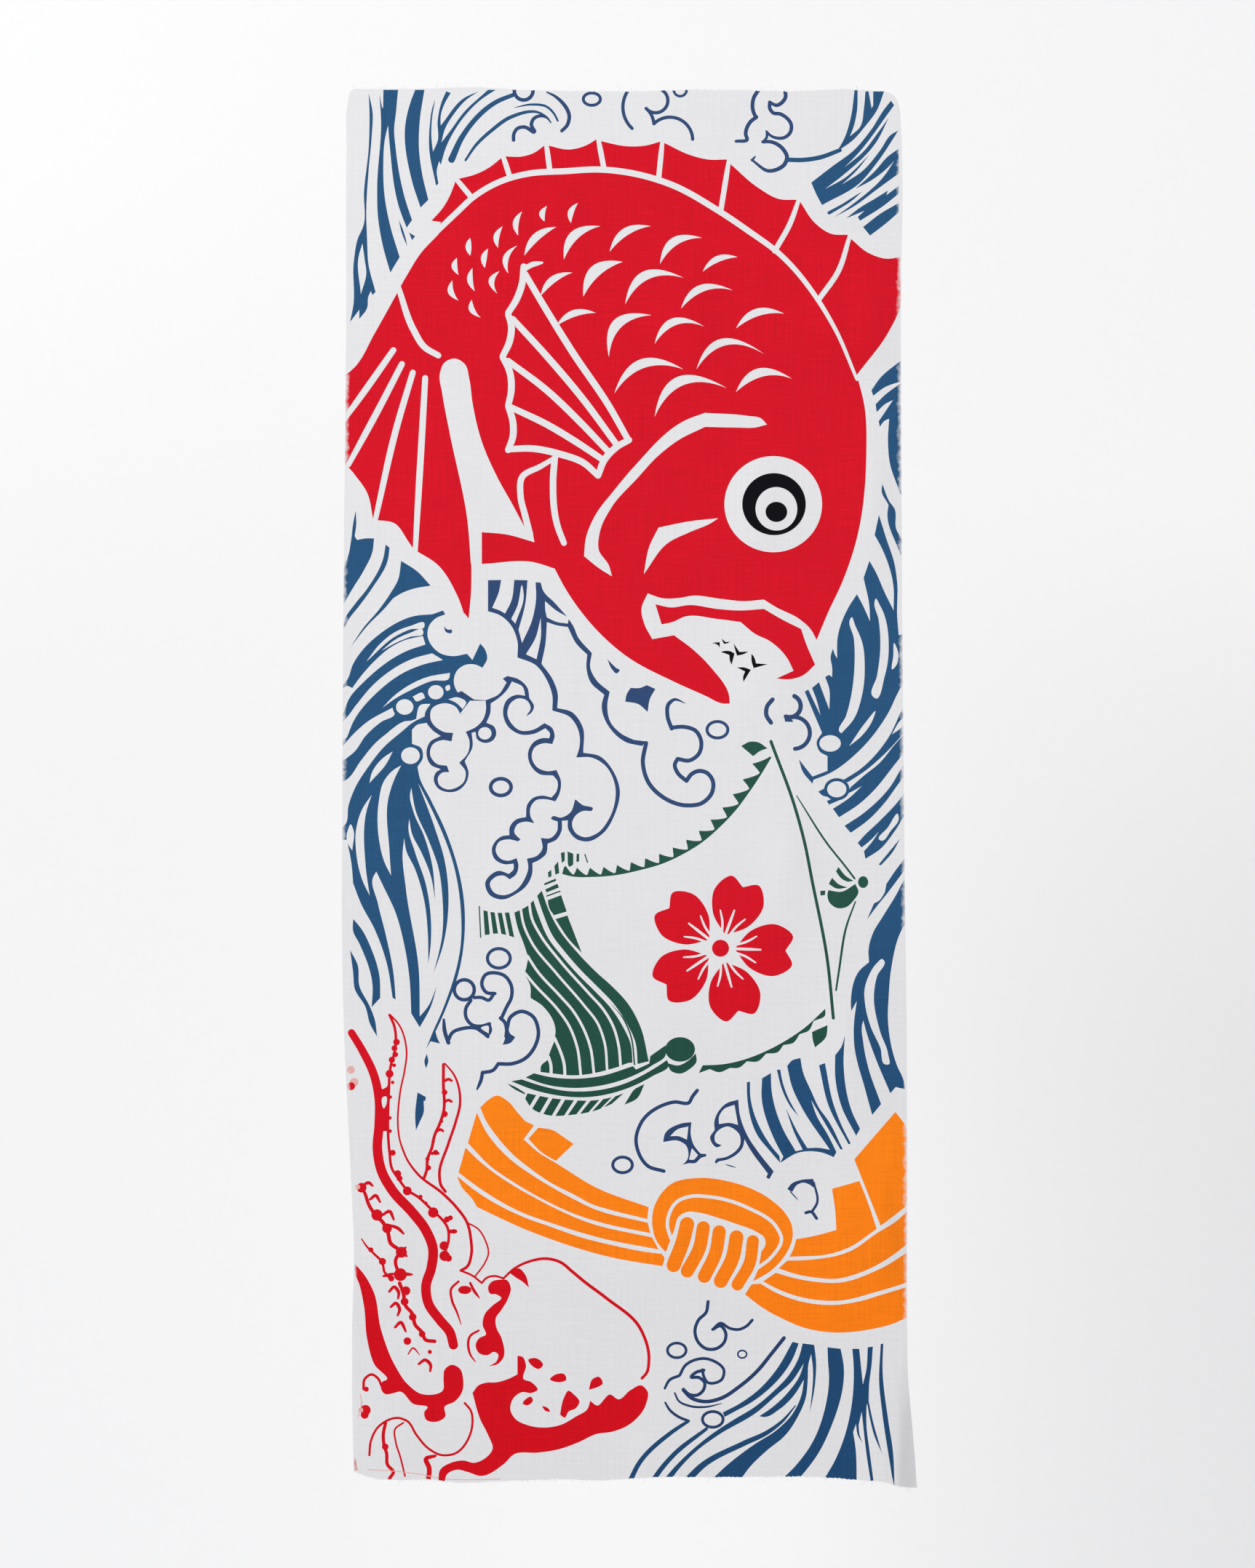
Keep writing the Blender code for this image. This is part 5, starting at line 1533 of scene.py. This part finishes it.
def makeCotton(name, dyed):
    cotton = bpy.data.materials.new(name)
    cotton.use_nodes = True
    tree = cotton.node_tree
    link = tree.links.new
    shader = tree.nodes["Principled BSDF"]
    shader.location = (1200, 0)
    tree.nodes["Material Output"].location = (1500, 0)
    shader.inputs["Specular IOR Level"].default_value = cottonLook["specular"]
    shader.inputs["Sheen Weight"].default_value = cottonLook["sheen"]
    if dyed:
        cloth = node(tree, "ShaderNodeUVMap", (-1400, 0), uv_map="flat").outputs["UV"]
    else:
        cloth = node(tree, "ShaderNodeTexCoord", (-1400, 0)).outputs["Object"]
    weave = node(tree, "ShaderNodeGroup", (-1100, 200), node_tree=weaveGroup)
    slubs = node(tree, "ShaderNodeGroup", (-1100, -200), node_tree=slubGroup)
    mottle = node(tree, "ShaderNodeGroup", (300, 0), node_tree=dyeGroup)
    for group in (weave, slubs, mottle):
        link(cloth, group.inputs["Cloth"])
    mottle.inputs["Color"].default_value = cottonLook["white"]
    mottle.inputs["Depth"].default_value = 0.3  # plain cotton mottles less than dyed
    if dyed:
        dye = node(tree, "ShaderNodeAttribute", (-1100, 600), attribute_name="dye")
        selvage = node(tree, "ShaderNodeAttribute", (-1100, 900), attribute_name="selvage")
        back = node(tree, "ShaderNodeAttribute", (-800, 1200), attribute_name="backSide")
        ragged = node(tree, "ShaderNodeTexNoise", (-1100, 1200), Scale=240, Detail=3)
        link(cloth, ragged.inputs["Vector"])
        # dye stops raggedly at the selvages and shows through paler on the back
        inward = maths(tree, (-700, 900), "MULTIPLY_ADD", ragged.outputs["Fac"], 5, -2.5)
        inward = maths(tree, (-500, 900), "ADD", inward, selvage.outputs["Fac"])
        took = node(tree, "ShaderNodeMapRange", (-300, 900), From_Max=cottonLook["selvageFade"], To_Min=0.15)
        link(inward, took.inputs["Value"])
        through = maths(tree, (-300, 1200), "MULTIPLY_ADD", back.outputs["Fac"], -cottonLook["backFade"], 1)
        cover = maths(tree, (-100, 900), "MULTIPLY", took.outputs[0], through)
        cover = maths(tree, (-50, 800), "MULTIPLY", cover, dye.outputs["Alpha"])
        colour = node(tree, "ShaderNodeMix", (100, 600), data_type="RGBA")
        colour.inputs[6].default_value = cottonLook["white"]
        link(cover, colour.inputs[0])
        link(dye.outputs["Color"], colour.inputs[7])
        link(colour.outputs[2], mottle.inputs["Color"])
        depth = maths(tree, (100, 300), "MULTIPLY_ADD", dye.outputs["Alpha"], 0.7, 0.3)
        link(depth, mottle.inputs["Depth"])
    link(slubs.outputs["Streaks"], mottle.inputs["Streaks"])
    # the weave's painted shade and highlight go into the colour here
    shaded = node(tree, "ShaderNodeHueSaturation", (800, 100))
    link(mottle.outputs["Color"], shaded.inputs["Color"])
    link(weave.outputs["Shade"], shaded.inputs["Value"])
    finish = shaded.outputs["Color"]
    if dyed:
        # painted shade: the colours are darkened a little in the lower part, where less light falls
        along = node(tree, "ShaderNodeSeparateXYZ", (800, 400))
        shadeRamp = node(tree, "ShaderNodeMapRange", (900, 400), From_Min=-0.5, From_Max=-0.8, To_Min=1)
        shadeRamp.inputs["To Max"].default_value = cottonLook["lowShadeGamma"]
        paintedShade = node(tree, "ShaderNodeGamma", (1000, 200))
        link(cloth, along.inputs[0])
        link(along.outputs["Y"], shadeRamp.inputs["Value"])
        link(finish, paintedShade.inputs["Color"])
        link(shadeRamp.outputs[0], paintedShade.inputs["Gamma"])
        finish = paintedShade.outputs[0]
    link(finish, shader.inputs["Base Color"])
    roughest = cottonLook["roughness"] + 0.04
    rough = maths(tree, (800, -100), "MULTIPLY_ADD", weave.outputs["Height"], -0.06, roughest)
    link(rough, shader.inputs["Roughness"])
    relief = maths(tree, (600, -300), "MULTIPLY_ADD", slubs.outputs["Streaks"], 0.8, weave.outputs["Height"])
    bump = node(tree, "ShaderNodeBump", (900, -300), Strength=cottonLook["bumpStrength"])
    bump.inputs["Distance"].default_value = cottonLook["bumpHeight"]
    link(relief, bump.inputs["Height"])
    link(bump.outputs["Normal"], shader.inputs["Normal"])
    return cotton


weaveGroup = makeWeave()
slubGroup = makeSlubs()
dyeGroup = makeDyeing()


stageLook = {
    "wallY": 0.7,
    "floorZ": -1.30,
    "roomHalfWidth": 3,
    "wallTop": 2.5,
    "floorReach": 4,
    "glow": 0.055,  # evens out the backdrop
    "wallColour": (0.93, 0.935, 0.93),
    "floorColour": (0.86, 0.86, 0.86),
    "skyColour": (0.96, 0.97, 1.0, 1),
    "skyStrength": 0.55,
    "viewHeight": 1.012,
    "viewCentre": (0.0, -0.0002, -0.438),
    "cameraDistance": 3.2,
}

# where each light stands and what it faces, its width in m and its power in W
lights = {
    "key": ((-1.8, -2.1, 1.4), (0, 0, -0.15), 1.3, 47),
    "fill": ((1.8, -2.6, 0.6), (0, 0, -0.2), 1.6, 13),
    "back": ((0.4, 2.6, 0.9), (0, 0, -0.4), 2.0, 40),
}


def makeStage():
    y, z = stageLook["wallY"], stageLook["floorZ"]
    side, top, reach = stageLook["roomHalfWidth"], stageLook["wallTop"], stageLook["floorReach"]
    wall = ((-side, y, z), (side, y, z), (side, y, top), (-side, y, top))
    floor = ((-side, -reach, z), (side, -reach, z), (side, reach, z), (-side, reach, z))
    for name, spots in (("wall", wall), ("floor", floor)):
        bm = bmesh.new()
        bm.faces.new([bm.verts.new(spot) for spot in spots])
        mesh = bpy.data.meshes.new(name)
        bm.to_mesh(mesh)
        bm.free()
        paint = bpy.data.materials.new(f"{name}Paint")
        paint.use_nodes = True
        tree = paint.node_tree
        link = tree.links.new
        shader = tree.nodes["Principled BSDF"]
        shader.inputs["Base Color"].default_value = (*stageLook[f"{name}Colour"], 1)
        shader.inputs["Roughness"].default_value = 0.95
        shader.inputs["Specular IOR Level"].default_value = 0.1
        shader.inputs["Emission Color"].default_value = (1, 1, 1, 1)
        shader.inputs["Emission Strength"].default_value = stageLook["glow"]
        if name == "wall":
            # the wall is seen from the front only, and neither blocks nor returns light
            clear = node(tree, "ShaderNodeBsdfTransparent", (0, -300))
            mix = node(tree, "ShaderNodeMixShader", (400, 0))
            ray = node(tree, "ShaderNodeLightPath", (-400, 300))
            side = node(tree, "ShaderNodeNewGeometry", (-400, 0))
            front = node(tree, "ShaderNodeMath", (-200, 100), operation="SUBTRACT", use_clamp=True)
            out = tree.nodes["Material Output"]
            link(ray.outputs["Is Camera Ray"], front.inputs[0])
            link(side.outputs["Backfacing"], front.inputs[1])
            link(front.outputs[0], mix.inputs[0])
            link(clear.outputs[0], mix.inputs[1])
            link(shader.outputs[0], mix.inputs[2])
            link(mix.outputs[0], out.inputs["Surface"])
        mesh.materials.append(paint)
        intoScene(name, mesh)


def makeLight(name, place, target, size, power):
    data = bpy.data.lights.new(name, "AREA")
    data.shape = "RECTANGLE"
    data.size = data.size_y = size
    data.energy = power
    lamp = intoScene(name, data)
    lamp.location = place
    aim = Vector(target) - Vector(place)
    lamp.rotation_euler = aim.to_track_quat("-Z", "Y").to_euler()


def makeCamera():
    data = bpy.data.cameras.new("camera")
    data.sensor_fit = "VERTICAL"
    data.sensor_height = 24
    data.lens = 24 * stageLook["cameraDistance"] / stageLook["viewHeight"]
    camera = intoScene("camera", data)
    x, y, z = stageLook["viewCentre"]
    camera.location = (x, y - stageLook["cameraDistance"], z)
    camera.rotation_euler = (pi / 2, 0, 0)
    bpy.context.scene.camera = camera


def makeWorld():
    world = bpy.data.worlds.new("studio")
    bpy.context.scene.world = world
    world.use_nodes = True
    sky = world.node_tree.nodes["Background"]
    sky.inputs["Color"].default_value = stageLook["skyColour"]
    sky.inputs["Strength"].default_value = stageLook["skyStrength"]
    bpy.context.scene.view_settings.view_transform = "Standard"


makeCamera()
makeWorld()
makeStage()
for name, lamp in lights.items():
    makeLight(name, *lamp)
print("stage, lights and camera set")

cotton = makeCotton("printedCotton", True)
looseCotton = makeCotton("looseYarn", False)
print("cotton materials made")
pieces = makePieces(cotton)
upperEdge = [p[:2] for p in clothEdge[:13]]
lowerEdge = [p[:2] for p in clothEdge[26:45]]
fringes = {
    0: makeFringe("upperYarnEnds", upperEdge, -1, 3, looseCotton),
    6: makeFringe("lowerYarnEnds", lowerEdge, 1, 8, looseCotton),
}
for k, piece in enumerate(pieces):
    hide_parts(*(["panel_1"] if k == 0 else []), f"panel_{k + 2}")
    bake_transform(piece)
    if k in fringes:
        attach(fringes[k], "panel_1" if k == 0 else "panel_8")
